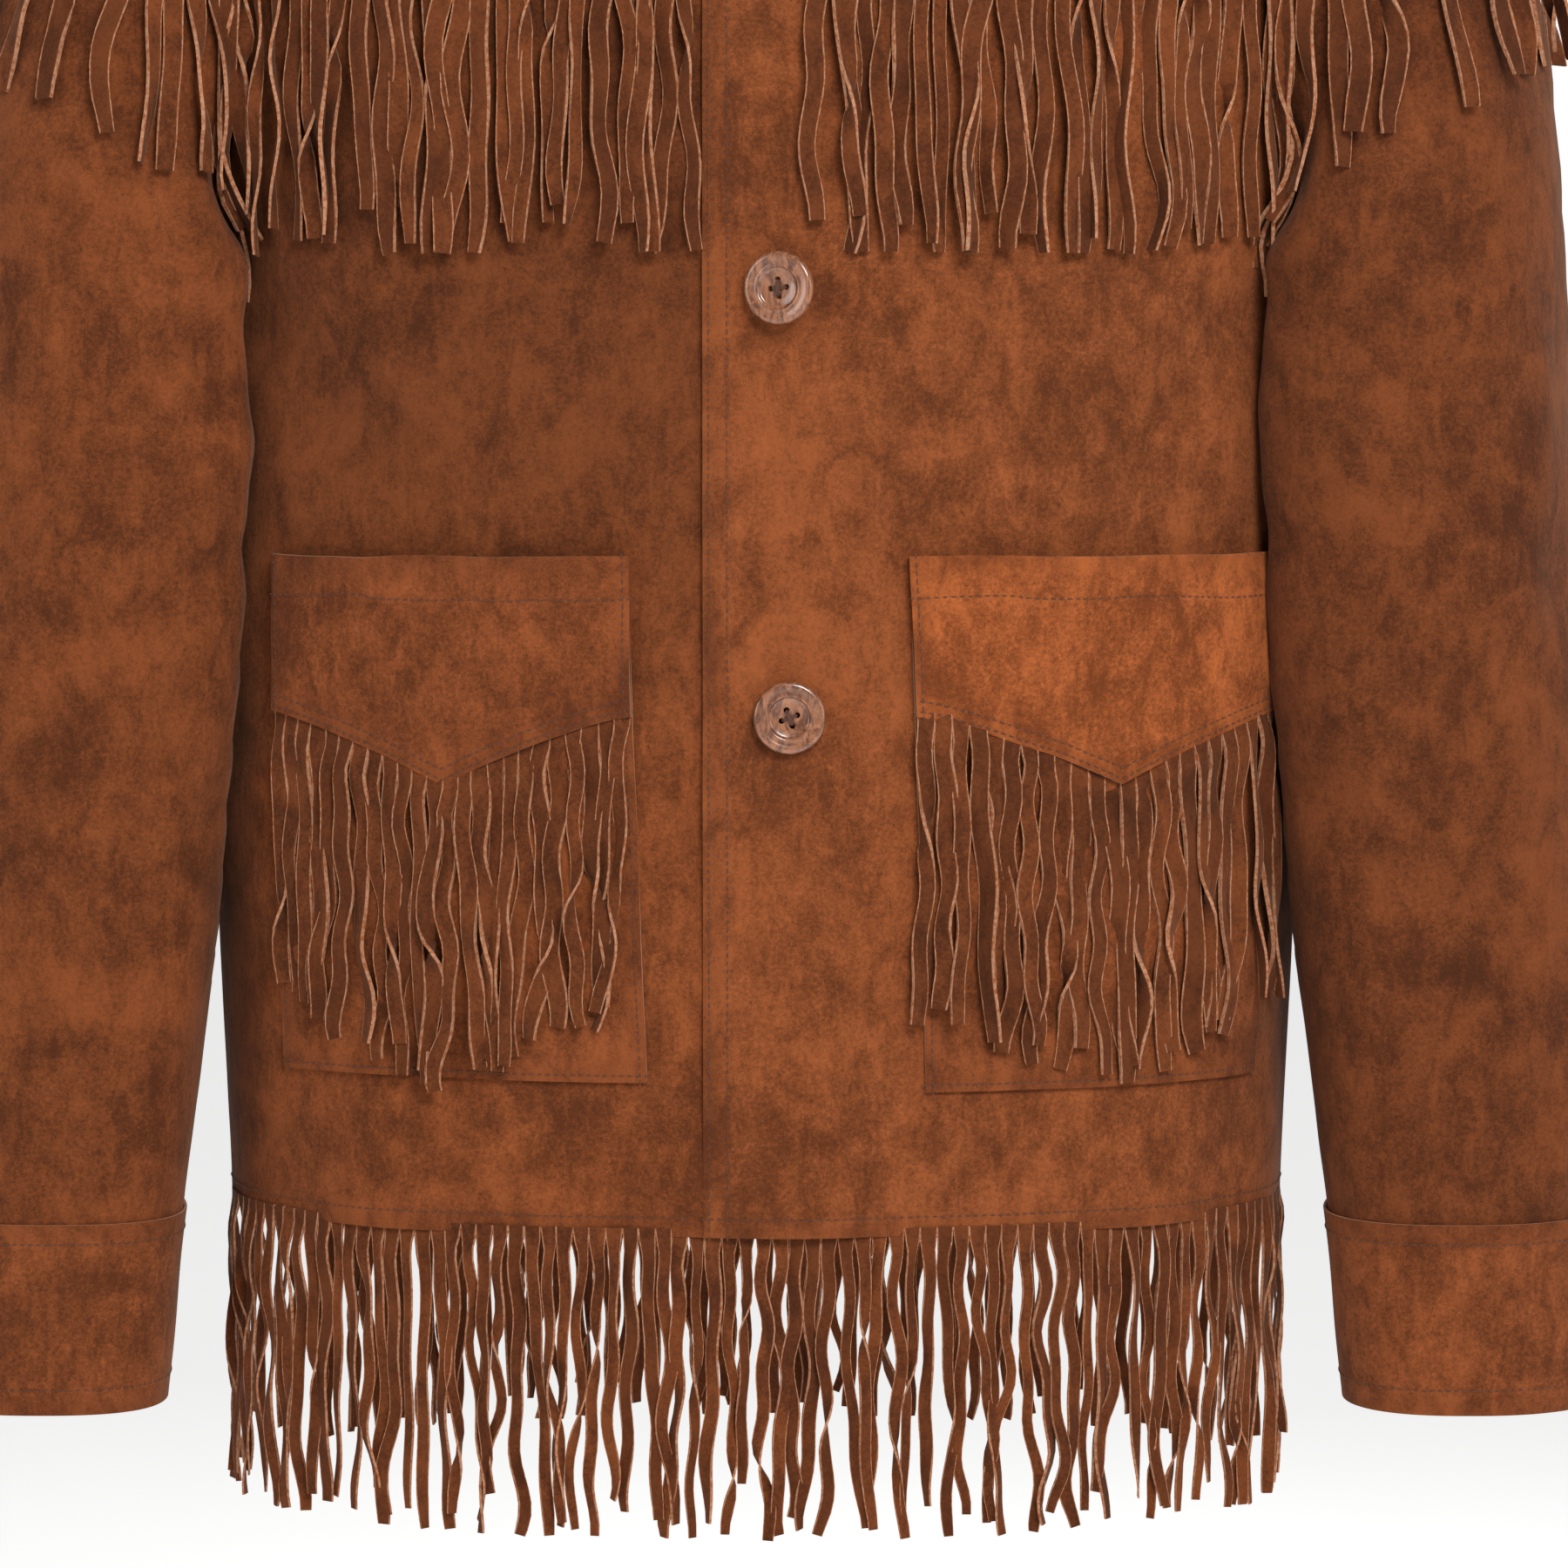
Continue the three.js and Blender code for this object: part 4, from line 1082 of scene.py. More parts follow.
@lru_cache(maxsize=None)
def thread():
    settings = bpy.context.scene.jacket_stitches
    shader = Shader("thread", {"Sheen Weight": 0.1, "Specular IOR Level": 0.3})
    twist = shader.noise(2600, 2, stretch=(1, 1, 2))
    colour = shader.mix(twist.above(0.35, 0.65), rgba(settings.colour, 0.7), rgba(settings.colour, 1.25))
    return shader.finish(colour, 0.62 + 0.15 * twist, [(twist, 0.4, 0.0002)])


@lru_cache(maxsize=None)
def horn():
    """Polished, marbled resin made to look like horn."""
    settings = bpy.context.scene.jacket_buttons
    gloss = {"Coat Weight": 0.6, "Coat Roughness": 0.08, "Specular IOR Level": 0.5}
    shader = Shader("marbled_resin", gloss)
    swirl = shader.noise(190, 4, 0.6, 2.2, stretch=(1.0, 1.0, 0.45))
    veins = shader.noise(420, 3, 0.55, 1.5, shift=4)
    dust = shader.noise(1500, 2)
    colour = shader.mix(swirl.above(0.36, 0.64), rgba(settings.dark), rgba(settings.light))
    colour = shader.mix(veins.above(0.6, 0.72) * 0.5, colour, rgba(settings.light, 1.5))
    return shader.finish(colour, 0.2 + 0.16 * dust, [(dust, 0.12, 0.0002)])


@lru_cache(maxsize=None)
def pale_floor():
    """A matt floor that glows weakly, so that it reads as near white."""
    glow = {"Specular IOR Level": 0.1, "Emission Color": (1, 1, 1, 1), "Emission Strength": 0.56}
    shader = Shader("pale_floor", glow)
    return shader.finish(rgba((0.93, 0.925, 0.915)), 0.9 + 0.05 * shader.noise(8, 2))


def geometry_tree(name):
    tree = bpy.data.node_groups.new(name, "GeometryNodeTree")
    new_input(tree, "Geometry", "NodeSocketGeometry")
    tree.interface.new_socket("Geometry", in_out="OUTPUT", socket_type="NodeSocketGeometry")
    return Tree(tree), tree.nodes.new("NodeGroupInput")


def close_tree(tree, geometry, material):
    """Ends a tree in plain geometry with its material."""
    real = tree.node("GeometryNodeRealizeInstances", Geometry=geometry)
    dressed = tree.node("GeometryNodeSetMaterial", Geometry=real, Material=material)
    out = tree.tree.nodes.new("NodeGroupOutput")
    tree.fill(out.inputs[0], dressed)


@lru_cache(maxsize=None)
def strip_tree():
    """Sweeps a flat strip along each line of points, which carry its width and the way it faces."""
    tree, start = geometry_tree("cut_strips")
    thickness = new_input(tree.tree, "Thickness", "NodeSocketFloat", 0.2)
    material = new_input(tree.tree, "Material", "NodeSocketMaterial")
    facing = tree.node("GeometryNodeInputNamedAttribute", {"data_type": "FLOAT_VECTOR"}, Name="facing")
    width = tree.node("GeometryNodeInputNamedAttribute", {"data_type": "FLOAT"}, Name="width")
    curve = tree.node("GeometryNodeMeshToCurve", Mesh=start.outputs["Geometry"])
    curve = tree.node("GeometryNodeSetCurveNormal", {"mode": "FREE"}, Curve=curve, Normal=facing.outputs[0])
    section = tree.node(
        "GeometryNodeCurvePrimitiveQuadrilateral",
        {"mode": "RECTANGLE"},
        Width=start.outputs["Thickness"],
        Height=1.0,
    )
    place = tree.node("GeometryNodeInputPosition")
    parts = tree.node("ShaderNodeSeparateXYZ", Vector=place)
    across = Number(tree, parts.outputs["Y"]) * 2.0
    section = tree.node(
        "GeometryNodeStoreNamedAttribute",
        {"data_type": "FLOAT", "domain": "POINT"},
        Geometry=section,
        Name="across",
        Value=across,
    )
    swept = tree.tree.nodes.new("GeometryNodeCurveToMesh")
    tree.fill(swept.inputs["Curve"], curve)
    tree.fill(swept.inputs["Profile Curve"], section)
    tree.fill(swept.inputs["Scale"], width.outputs[0])
    tree.fill(swept.inputs["Fill Caps"], True)
    close_tree(tree, swept, start.outputs["Material"])
    return tree.tree, {"Thickness": thickness, "Material": material}


@lru_cache(maxsize=None)
def stitch_tree():
    """Lays even stitches along each line of points, which carry the way out from the cloth."""
    tree, start = geometry_tree("stitches")
    ids = {
        "Pitch": new_input(tree.tree, "Pitch", "NodeSocketFloat", 0.003),
        "Length": new_input(tree.tree, "Length", "NodeSocketFloat", 0.0022),
        "Width": new_input(tree.tree, "Width", "NodeSocketFloat", 0.0006),
        "Material": new_input(tree.tree, "Material", "NodeSocketMaterial"),
    }
    curve = tree.node("GeometryNodeMeshToCurve", Mesh=start.outputs["Geometry"])
    curve = tree.node(
        "GeometryNodeResampleCurve", {"mode": "LENGTH"}, Curve=curve, Length=start.outputs["Pitch"]
    )
    out = tree.node("GeometryNodeInputNamedAttribute", {"data_type": "FLOAT_VECTOR"}, Name="facing")
    tangent = tree.node("GeometryNodeInputTangent")
    along = tree.node("FunctionNodeAlignRotationToVector", {"axis": "X"}, Vector=tangent)
    turned = tree.node(
        "FunctionNodeAlignRotationToVector",
        {"axis": "Z", "pivot_axis": "X"},
        Rotation=along,
        Vector=out.outputs[0],
    )
    bead = tree.node("GeometryNodeMeshUVSphere", Segments=6, Rings=4, Radius=0.5)
    jitter = tree.node("FunctionNodeRandomValue", {"data_type": "FLOAT"})
    tree.fill(jitter.inputs[2], 0.8)
    tree.fill(jitter.inputs[3], 1.1)
    tree.fill(jitter.inputs["Seed"], 5)
    length = Number(tree, start.outputs["Length"]) * Number(tree, jitter.outputs[1])
    size = tree.node("ShaderNodeCombineXYZ", X=length, Y=start.outputs["Width"], Z=start.outputs["Width"])
    laid = tree.node(
        "GeometryNodeInstanceOnPoints", Points=curve, Instance=bead, Rotation=turned, Scale=size
    )
    close_tree(tree, laid, start.outputs["Material"])
    return tree.tree, ids


def lines_object(name, lines):
    """An object of plain lines, each a dict of points in millimetres and what they carry."""
    points = np.concatenate([line["points"] for line in lines]) * MM
    edges, start = [], 0
    for line in lines:
        count = len(line["points"])
        edges += [(start + k, start + k + 1) for k in range(count - 1)]
        start += count
    mesh = bpy.data.meshes.new(name)
    mesh.from_pydata(points.tolist(), edges, [])
    for key in lines[0]:
        if key == "points":
            continue
        values = np.concatenate([np.asarray(line[key], float) for line in lines])
        kind, field = ("FLOAT_VECTOR", "vector") if values.ndim == 2 else ("FLOAT", "value")
        mesh.attributes.new(key, kind, "POINT").data.foreach_set(field, values.ravel())
    return link(name, mesh)


def grown(name, lines, made, values, material, sharp=None):
    """The plain mesh that a node tree makes from lines."""
    tree, ids = made
    source = lines_object(f"{name}_lines", lines)
    modifier = source.modifiers.new("make", "NODES")
    modifier.node_group = tree
    for key, value in values.items():
        modifier[ids[key]] = value
    modifier[ids["Material"]] = material
    graph = bpy.context.evaluated_depsgraph_get()
    mesh = bpy.data.meshes.new_from_object(source.evaluated_get(graph))
    bpy.data.objects.remove(source)
    mesh.name = name
    if len(mesh.polygons) == 0:
        raise RuntimeError(f"{name} came out empty")
    mesh.shade_smooth()
    if sharp:
        mesh.set_sharp_from_angle(angle=math.radians(sharp))
    return link(name, mesh)


# ---------- fringe ----------
STRIP_POINTS = 26
BUNCH_SWAYS = (2.2, 1.7, 1.2)
BUNCH_SIZES = (6.3, 3.7, 2.6)
BUNCH_LEAN = 1.6


def strips(roots, normals_at, lengths, settings, random, root_lift=0.8, lie=2.6, narrow=1.0):
    """Lines for strips that hang over a surface.

    roots is (strip, point, 3), each strip's path on the surface. normals_at has the normals there.
    """
    count, steps = roots.shape[:2]
    s = np.linspace(0, 1, steps)
    down = unit(np.gradient(roots, axis=1))
    normals = unit(normals_at - (normals_at * down).sum(-1, keepdims=True) * down)
    aside = np.cross(down, normals)
    order = np.arange(count)
    lines = []
    spacing = np.linalg.norm(np.diff(roots[:, 0], axis=0), axis=1)
    pitch = float(np.median(spacing)) if count > 1 else settings.pitch / MM
    free = smooth(s / 0.12)
    # Neighbours lean together into loose bunches.
    bunch = sum(
        a * np.sin(2 * math.pi * order / w + p)
        for a, w, p in zip(BUNCH_SWAYS, BUNCH_SIZES, random.uniform(0, 6.28, 3))
    )
    for i in range(count):
        wave = settings.wave / MM * random.uniform(0.45, 1.35)
        turns = random.uniform(0.7, 2.1, 2)
        starts = random.uniform(0, 2 * math.pi, 4)
        lean = bunch[i] * BUNCH_LEAN + random.normal(0, 2.2)
        side = free * (
            wave * s**0.8 * np.sin(2 * math.pi * turns[0] * s + starts[0])
            + 0.45 * wave * np.sin(2 * math.pi * (turns[1] + 1.6) * s + starts[1])
        )
        side = side + lean * s**1.3
        deep = random.uniform(0.1, 1.0) * lie
        out = root_lift + free * (
            deep + s * random.uniform(0, 3.4) + 1.2 * np.sin(2 * math.pi * (turns[1] + 0.4) * s + starts[2])
        )
        out = np.maximum(out, root_lift)
        twist = free * (
            random.normal(0, 0.5) * s
            + random.uniform(0.1, 0.65) * np.sin(2 * math.pi * turns[1] * s + starts[3])
            + (random.choice([-1, 1]) * math.pi * smooth((s - random.uniform(0.2, 0.7)) / 0.3)
               if random.random() < settings.twisted else 0)
        )
        width = pitch * lerp(1.04, random.uniform(0.82, 1.16) * narrow, smooth(s / 0.1))
        width = width * (1 + 0.07 * np.sin(9 * s + starts[1])) * (1 - 0.18 * smooth((s - 0.9) / 0.1))
        path = roots[i] + aside[i] * side[:, None] + normals[i] * out[:, None]
        path = resample(path, lengths[i])
        facing = normals[i] * np.cos(twist)[:, None] + aside[i] * np.sin(twist)[:, None]
        lines.append(
            {
                "points": path,
                "facing": facing,
                "width": width * MM,
                "tone": np.full(steps, random.uniform(0, 1) ** 1.6),
            }
        )
    return lines


def resample(path, share):
    """The first share of a path, with as many points as it had."""
    walked = np.concatenate([[0], np.cumsum(np.linalg.norm(np.diff(path, axis=0), axis=1))])
    wanted = np.linspace(0, walked[-1] * share, len(path))
    return np.stack([np.interp(wanted, walked, path[:, k]) for k in range(3)], -1)


def end_lengths(count, random, uneven=0.05):
    """How much of its cut length each strip reaches down to, from bent and crossing strips."""
    slow = 0.02 * np.sin(np.arange(count) / 3.1 + random.uniform(0, 6))
    return np.clip(1 + slow + random.normal(0, uneven, count) - 0.03, 0.82, 1.06)


def fall_at_x(face, xs, top, length, lift):
    """Paths straight down the torso from a level or shaped top edge."""
    z = top[:, None] - length * np.linspace(0, 1.04, STRIP_POINTS)[None, :]
    x = np.broadcast_to(xs[:, None], z.shape)
    normals = torso_normal(face, x, z)
    return torso_at_x(face, x, z) + normals * lift[:, None, None], normals


def make_fringe(name, lines):
    settings = bpy.context.scene.jacket_fringe
    obj = grown(
        f"{name}_strips", lines, strip_tree(), {"Thickness": settings.thinness}, strip_suede(), sharp=50
    )
    return dress(obj, None, "fringe", name)


def even_places(start, end, pitch):
    count = max(2, int(round(abs(end - start) / pitch)))
    return lerp(start, end, (np.arange(count) + 0.5) / count)


def sleeve_fall(name, pitch):
    """Paths of strips from the armhole, over the sleeve's cap and down."""
    sheet = sleeve_sheet(name)
    turns = np.linspace(0, 0.5, 400)
    heights = armhole_ring(turns)[:, 2]
    to = np.interp(-YOKE_Z + 16, -heights, turns) * SLEEVE_COLUMNS
    back_heights = armhole_ring(1 - turns)[:, 2]
    back = -np.interp(-YOKE_Z + 10, -back_heights, turns) * SLEEVE_COLUMNS
    columns = even_places(back, to, pitch / 4.55)
    row = np.full(len(columns), 0.6)
    column = columns.copy()
    drift = lerp(0.35, 1.0, smooth(np.abs(columns) / to))
    places = [(row.copy(), column.copy())]
    stride, length = 1.5, CAP_FRINGE_LENGTH * 1.04
    count = int(length / stride)
    for _ in range(count):
        here = sheet.at(row, column)[0]
        down = (sheet.at(row + 0.2, column)[0] - here) / 0.2
        round_ = (sheet.at(row, column + 0.2)[0] - here) / 0.2
        dd, rr, dr = (down**2).sum(-1), (round_**2).sum(-1), (down * round_).sum(-1)
        determinant = dd * rr - dr * dr
        a = (-down[:, 2] * rr + round_[:, 2] * dr) / determinant
        b = (-round_[:, 2] * dd + down[:, 2] * dr) / determinant * drift
        size = np.linalg.norm(down * a[:, None] + round_ * b[:, None], axis=1)
        row = row + a * stride / size
        column = column + b * stride / size
        places.append((row.copy(), column.copy()))
    pick = np.linspace(0, count, STRIP_POINTS).round().astype(int)
    rows = np.array([places[k][0] for k in pick]).T
    cols = np.array([places[k][1] for k in pick]).T
    return sheet.at(rows, cols)


# ---------- stitching ----------
def stitch_line(sheet, rows, columns, lift):
    points, normals = sheet.at(rows, columns)
    return {"points": points + normals * lift, "facing": normals}


def along_edge(sheet, edge, inset, lift, start=0.0, end=1.0, count=160):
    """A line a given distance inside one edge of a sheet: low, high, first or last."""
    share = np.linspace(start, end, count)
    if edge in ("low", "high"):
        columns = share * (sheet.columns - (0 if sheet.loop else 1))
        step = np.linalg.norm(sheet.at(1, columns)[0] - sheet.at(0, columns)[0], axis=-1)
        if edge == "high":
            last = sheet.rows - 1
            step = np.linalg.norm(sheet.at(last, columns)[0] - sheet.at(last - 1, columns)[0], axis=-1)
            return stitch_line(sheet, last - inset / step, columns, lift)
        return stitch_line(sheet, inset / step, columns, lift)
    rows = share * (sheet.rows - 1)
    if edge == "first":
        step = np.linalg.norm(sheet.at(rows, 1)[0] - sheet.at(rows, 0)[0], axis=-1)
        return stitch_line(sheet, rows, inset / step, lift)
    last = sheet.columns - 1
    step = np.linalg.norm(sheet.at(rows, last)[0] - sheet.at(rows, last - 1)[0], axis=-1)
    return stitch_line(sheet, rows, last - inset / step, lift)


def cuff_sheet(name):
    side = SIDES[name]
    turns = np.arange(SLEEVE_COLUMNS) / SLEEVE_COLUMNS
    heights = np.linspace(CUFF_END_Z + CUFF_HEIGHT, CUFF_END_Z, 24)
    turn, z = np.meshgrid(turns, heights)
    points = on_side(sleeve_ring(turn, z), side)
    wave = 0.5 * np.sin(8 * math.pi * turn + side) + 0.4 * np.sin(z / 9 + 14 * turn)
    return Sheet(points, loop=True, outward=side).raised(wave * 0.5)


# ---------- settings ----------
def length(name, description, default, **options):
    return bpy.props.FloatProperty(
        name=name, description=description, default=default, unit="LENGTH", **options
    )


def colour(name, description, default):
    return bpy.props.FloatVectorProperty(
        name=name, description=description, default=default, size=3, min=0, max=1, subtype="COLOR"
    )


class JacketSuede(bpy.types.PropertyGroup):
    wall: length("Hide thickness", "Thickness of one layer of hide", 0.0015, min=0.0005, max=0.003)
    crease_depth: bpy.props.FloatProperty(
        name="Crease depth",
        description="How deep the creases are, as a share of their own depths",
        default=1.0,
    )
    dark: colour("Dark", "Colour in the hide's dark patches", (0.072, 0.0175, 0.0038))
    light: colour("Light", "Colour in the hide's light patches", (0.224, 0.060, 0.0155))
    scuffed: colour("Scuffed", "Colour where the nap is brushed up", (0.285, 0.086, 0.027))
    cut_edge: colour("Cut edge", "Colour of a raw cut edge", (0.42, 0.215, 0.125))


class JacketFringe(bpy.types.PropertyGroup):
    pitch: length("Pitch", "Distance between strips at their roots", 0.0064, min=0.003, max=0.02)
    thinness: bpy.props.FloatProperty(
        name="Thinness", description="Thickness of a strip, as a share of its width", default=0.2, min=0.05
    )
    wave: length("Wave", "How far a strip wanders sideways", 0.0022, min=0, max=0.01)
    twisted: bpy.props.FloatProperty(
        name="Twisted", description="Share of strips that turn right over", default=0.3, min=0, max=1
    )
    seed: bpy.props.IntProperty(name="Seed", description="Starts the strips' random shapes", default=17)


class JacketStitches(bpy.types.PropertyGroup):
    pitch: length("Pitch", "Distance from one stitch to the next", 0.0031, min=0.001)
    stitch: length("Stitch length", "Length of thread that shows in each stitch", 0.0023, min=0.0005)
    width: length("Thread width", "Width of the thread", 0.00062, min=0.0002)
    colour: colour("Thread", "Colour of the thread", (0.075, 0.026, 0.012))


class JacketButtons(bpy.types.PropertyGroup):
    radius: length("Radius", "Radius of a button", 0.0135, min=0.004)
    thickness: length("Thickness", "Thickness of a button's rim", 0.0044, min=0.001)
    well: length("Well radius", "Radius of the sunk middle", 0.0077, min=0.002)
    hole: length("Hole radius", "Radius of a sewing hole", 0.0011, min=0.0005)
    dark: colour("Dark", "Colour of the resin's dark swirls", (0.095, 0.030, 0.012))
    light: colour("Light", "Colour of the resin's light swirls", (0.27, 0.105, 0.047))


class JacketStage(bpy.types.PropertyGroup):
    distance: length("Camera distance", "From the camera to the jacket's front", 1.85, min=0.5)
    lens: bpy.props.FloatProperty(
        name="Lens", description="Focal length in millimetres", default=115.6, min=20
    )
    camera_height: length("Camera height", "Height of the camera", -0.312)
    aim_height: length("Aim height", "Height that the camera looks at", -0.450)
    aside: length("Aside", "How far the camera stands to one side", 0.011)
    key: bpy.props.FloatProperty(
        name="Key light", description="Power of the front light", default=70, unit="POWER"
    )
    fill: bpy.props.FloatProperty(
        name="Fill light", description="Power of the side lights", default=16, unit="POWER"
    )
    sky: bpy.props.FloatProperty(name="Surround", description="Strength of the light all round", default=0.26)


# ---------- operators ----------
class JACKET_OT_body(bpy.types.Operator):
    """Make the two fronts, the back and the yokes"""

    bl_idname = "jacket.body"
    bl_label = "Body"

    def execute(self, context):
        wall = context.scene.jacket_suede.wall / MM
        for name in SIDES:
            # upper is painted shade of the chest fringe, partly the hide's own darker tone, deeper on the
            # right front.
            tint, upper = ((1.04, 1.04, 1.06), 0.94) if name == "left" else ((0.96, 0.94, 0.91), 0.66)
            cloth_piece(
                f"front_{name}", front_sheet(name), 0, -wall, suede(f"suede_front_{name}", 2.0, tint, upper),
            )
            cloth_piece(
                f"yoke_{name}", yoke_sheet(name), 0, -wall, suede("suede_yoke", 5.0, (1, 1, 1)),
            )
        cloth_piece(
            "back", back_sheet(), 0, -wall, suede("suede_back", 8.0, (0.98, 0.97, 0.96)),
        )
        cloth_piece(
            "yoke_back", back_yoke_sheet(), 0, -wall, suede("suede_yoke", 5.0, (1, 1, 1)),
        )
        return {"FINISHED"}


class JACKET_OT_collar(bpy.types.Operator):
    """Make the turned-down collar"""

    bl_idname = "jacket.collar"
    bl_label = "Collar"

    def execute(self, context):
        half = context.scene.jacket_suede.wall / MM / 2
        cloth_piece(
            "collar", collar_sheet(), half, -half, suede("suede_collar", 14.0, (1.02, 1.0, 0.98)),
        )
        return {"FINISHED"}


class JACKET_OT_sleeves(bpy.types.Operator):
    """Make the sleeves and their cuffs"""

    bl_idname = "jacket.sleeves"
    bl_label = "Sleeves and cuffs"

    def execute(self, context):
        wall = context.scene.jacket_suede.wall / MM
        tints = {"left": (0.66, 0.64, 0.62), "right": (0.78, 0.76, 0.74)}
        for name in SIDES:
            cloth_piece(
                f"sleeve_{name}", sleeve_sheet(name), 0, -wall,
                suede(f"suede_sleeve_{name}", 21.0, tints[name]),
            )
            cloth_piece(
                f"cuff_{name}", cuff_sheet(name), CUFF_GAP + CUFF_WALL_SHARE * wall, CUFF_GAP,
                suede("suede_cuff", 24.0, (0.97, 0.96, 0.98)),
            )
        return {"FINISHED"}


class JACKET_OT_pockets(bpy.types.Operator):
    """Make the patch pockets and their pointed yokes"""

    bl_idname = "jacket.pockets"
    bl_label = "Pockets"

    def execute(self, context):
        wall = context.scene.jacket_suede.wall / MM
        tints = {"left": (1.5, 1.45, 1.35), "right": (0.98, 0.96, 0.98)}
        for name in SIDES:
            cloth_piece(
                f"pocket_{name}", pocket_patch(name), wall, 0,
                suede("suede_pocket", 31.0, (0.96, 0.94, 0.95)),
            )
            cloth_piece(
                f"pocket_yoke_{name}", pocket_yoke(name), wall, 0,
                suede(f"suede_pocket_yoke_{name}", 34.0, tints[name]),
            )
        return {"FINISHED"}


class JACKET_OT_fringe(bpy.types.Operator):
    """Cut every row of fringe"""

    bl_idname = "jacket.fringe"
    bl_label = "Fringe"

    def execute(self, context):
        settings = context.scene.jacket_fringe
        pitch = settings.pitch / MM
        for name, side in SIDES.items():
            random = np.random.default_rng(settings.seed + side)
            self.chest(name, side, pitch, settings, random)
            self.pocket(name, side, pitch, settings, random)
            self.sleeve(name, pitch, settings, random)
            self.hem_front(name, side, pitch, settings, random)
        random = np.random.default_rng(settings.seed + 9)
        self.back(pitch, settings, random)
        self.hem_back(pitch, settings, random)
        return {"FINISHED"}

    def chest(self, name, side, pitch, settings, random):
        start = 18.6 if name == "left" else 20.5
        xs = even_places(start, 193, pitch) * side
        top = np.full(len(xs), YOKE_Z + 0.0)
        roots, normals = fall_at_x("front", xs, top, YOKE_FRINGE_LENGTH, OVERLAY_GAP + lap_lift(side, xs))
        lines = strips(roots, normals, end_lengths(len(xs), random), settings, random, lie=4.0)
        make_fringe(f"chest_fringe_{name}", lines)

    def back(self, pitch, settings, random):
        xs = even_places(190, -190, pitch)
        top, lift = np.full(len(xs), YOKE_Z), np.full(len(xs), OVERLAY_GAP)
        roots, normals = fall_at_x("back", xs, top, YOKE_FRINGE_LENGTH, lift)
        lines = strips(roots, normals, end_lengths(len(xs), random), settings, random, lie=4.0)
        make_fringe("back_fringe", lines)

    def pocket(self, name, side, pitch, settings, random):
        count = int(round(150 / (pitch * 0.96)))
        across = (np.arange(count) + 0.5) / count
        edge = pocket_edge_z(across)
        row, column = pocket_places(name, across, edge)
        xs = front_sheet(name).at(row, column)[0][:, 0]
        xs = xs - side * 1.5 * (across - 0.5)
        lift = np.full(count, 2.4) + lap_lift(side, xs)
        roots, normals = fall_at_x("front", xs, edge + 2.5, POCKET["fringe"], lift)
        lengths = end_lengths(count, random, 0.045)
        lines = strips(roots, normals, lengths, settings, random, lie=2.6, root_lift=0.2)
        make_fringe(f"pocket_fringe_{name}", lines)

    def sleeve(self, name, pitch, settings, random):
        roots, normals = sleeve_fall(name, pitch)
        lengths = end_lengths(len(roots), random)
        lines = strips(roots, normals, lengths, settings, random, root_lift=1.0, lie=3.6)
        make_fringe(f"sleeve_fringe_{name}", lines)

    def hem_front(self, name, side, pitch, settings, random):
        edge = PLACKET_X if name == "left" else -PLACKET_X
        girths = even_places(edge, GIRTH_AT_SIDE, pitch)
        roots, normals = self.hem_paths("front", angle_of_girth(girths))
        roots, normals = on_side(roots, side), on_side(normals, side)
        self.hem_row(f"hem_fringe_{name}", roots, normals, settings, random)

    def hem_back(self, pitch, settings, random):
        shares = even_places(0, 2 * GIRTH_AT_SIDE, pitch)
        angles = np.where(
            shares < GIRTH_AT_SIDE,
            angle_of_girth(GIRTH_AT_SIDE - shares),
            math.pi - angle_of_girth(shares - GIRTH_AT_SIDE),
        )
        roots, normals = self.hem_paths("back", angles)
        self.hem_row("hem_fringe_back", roots, normals, settings, random)

    def hem_row(self, name, roots, normals, settings, random):
        """Strips that are narrower than their pitch, so light shows between them."""
        lengths = end_lengths(len(roots), random, 0.06)
        make_fringe(
            name,
            strips(roots, normals, lengths, settings, random, root_lift=-0.9, lie=1.5, narrow=0.74),
        )

    def hem_paths(self, face, angles):
        z = HEM_Z + 3 - (HEM_FRINGE_LENGTH + 4) * np.linspace(0, 1.04, STRIP_POINTS)[None, :]
        angle = np.broadcast_to(angles[:, None], (len(angles), STRIP_POINTS))
        points = torso_point(face, angle, np.broadcast_to(z, angle.shape))
        x, y = points[..., 0], points[..., 1]
        depth = front_depth(z) if face == "front" else back_depth(z)
        gradient_x = np.sign(x) * (np.abs(x) / half_width(z)) ** (ROUNDNESS - 1) / half_width(z)
        gradient_y = np.sign(y) * (np.abs(y) / depth) ** (ROUNDNESS - 1) / depth
        return points, unit(points_of(gradient_x, gradient_y, 0))


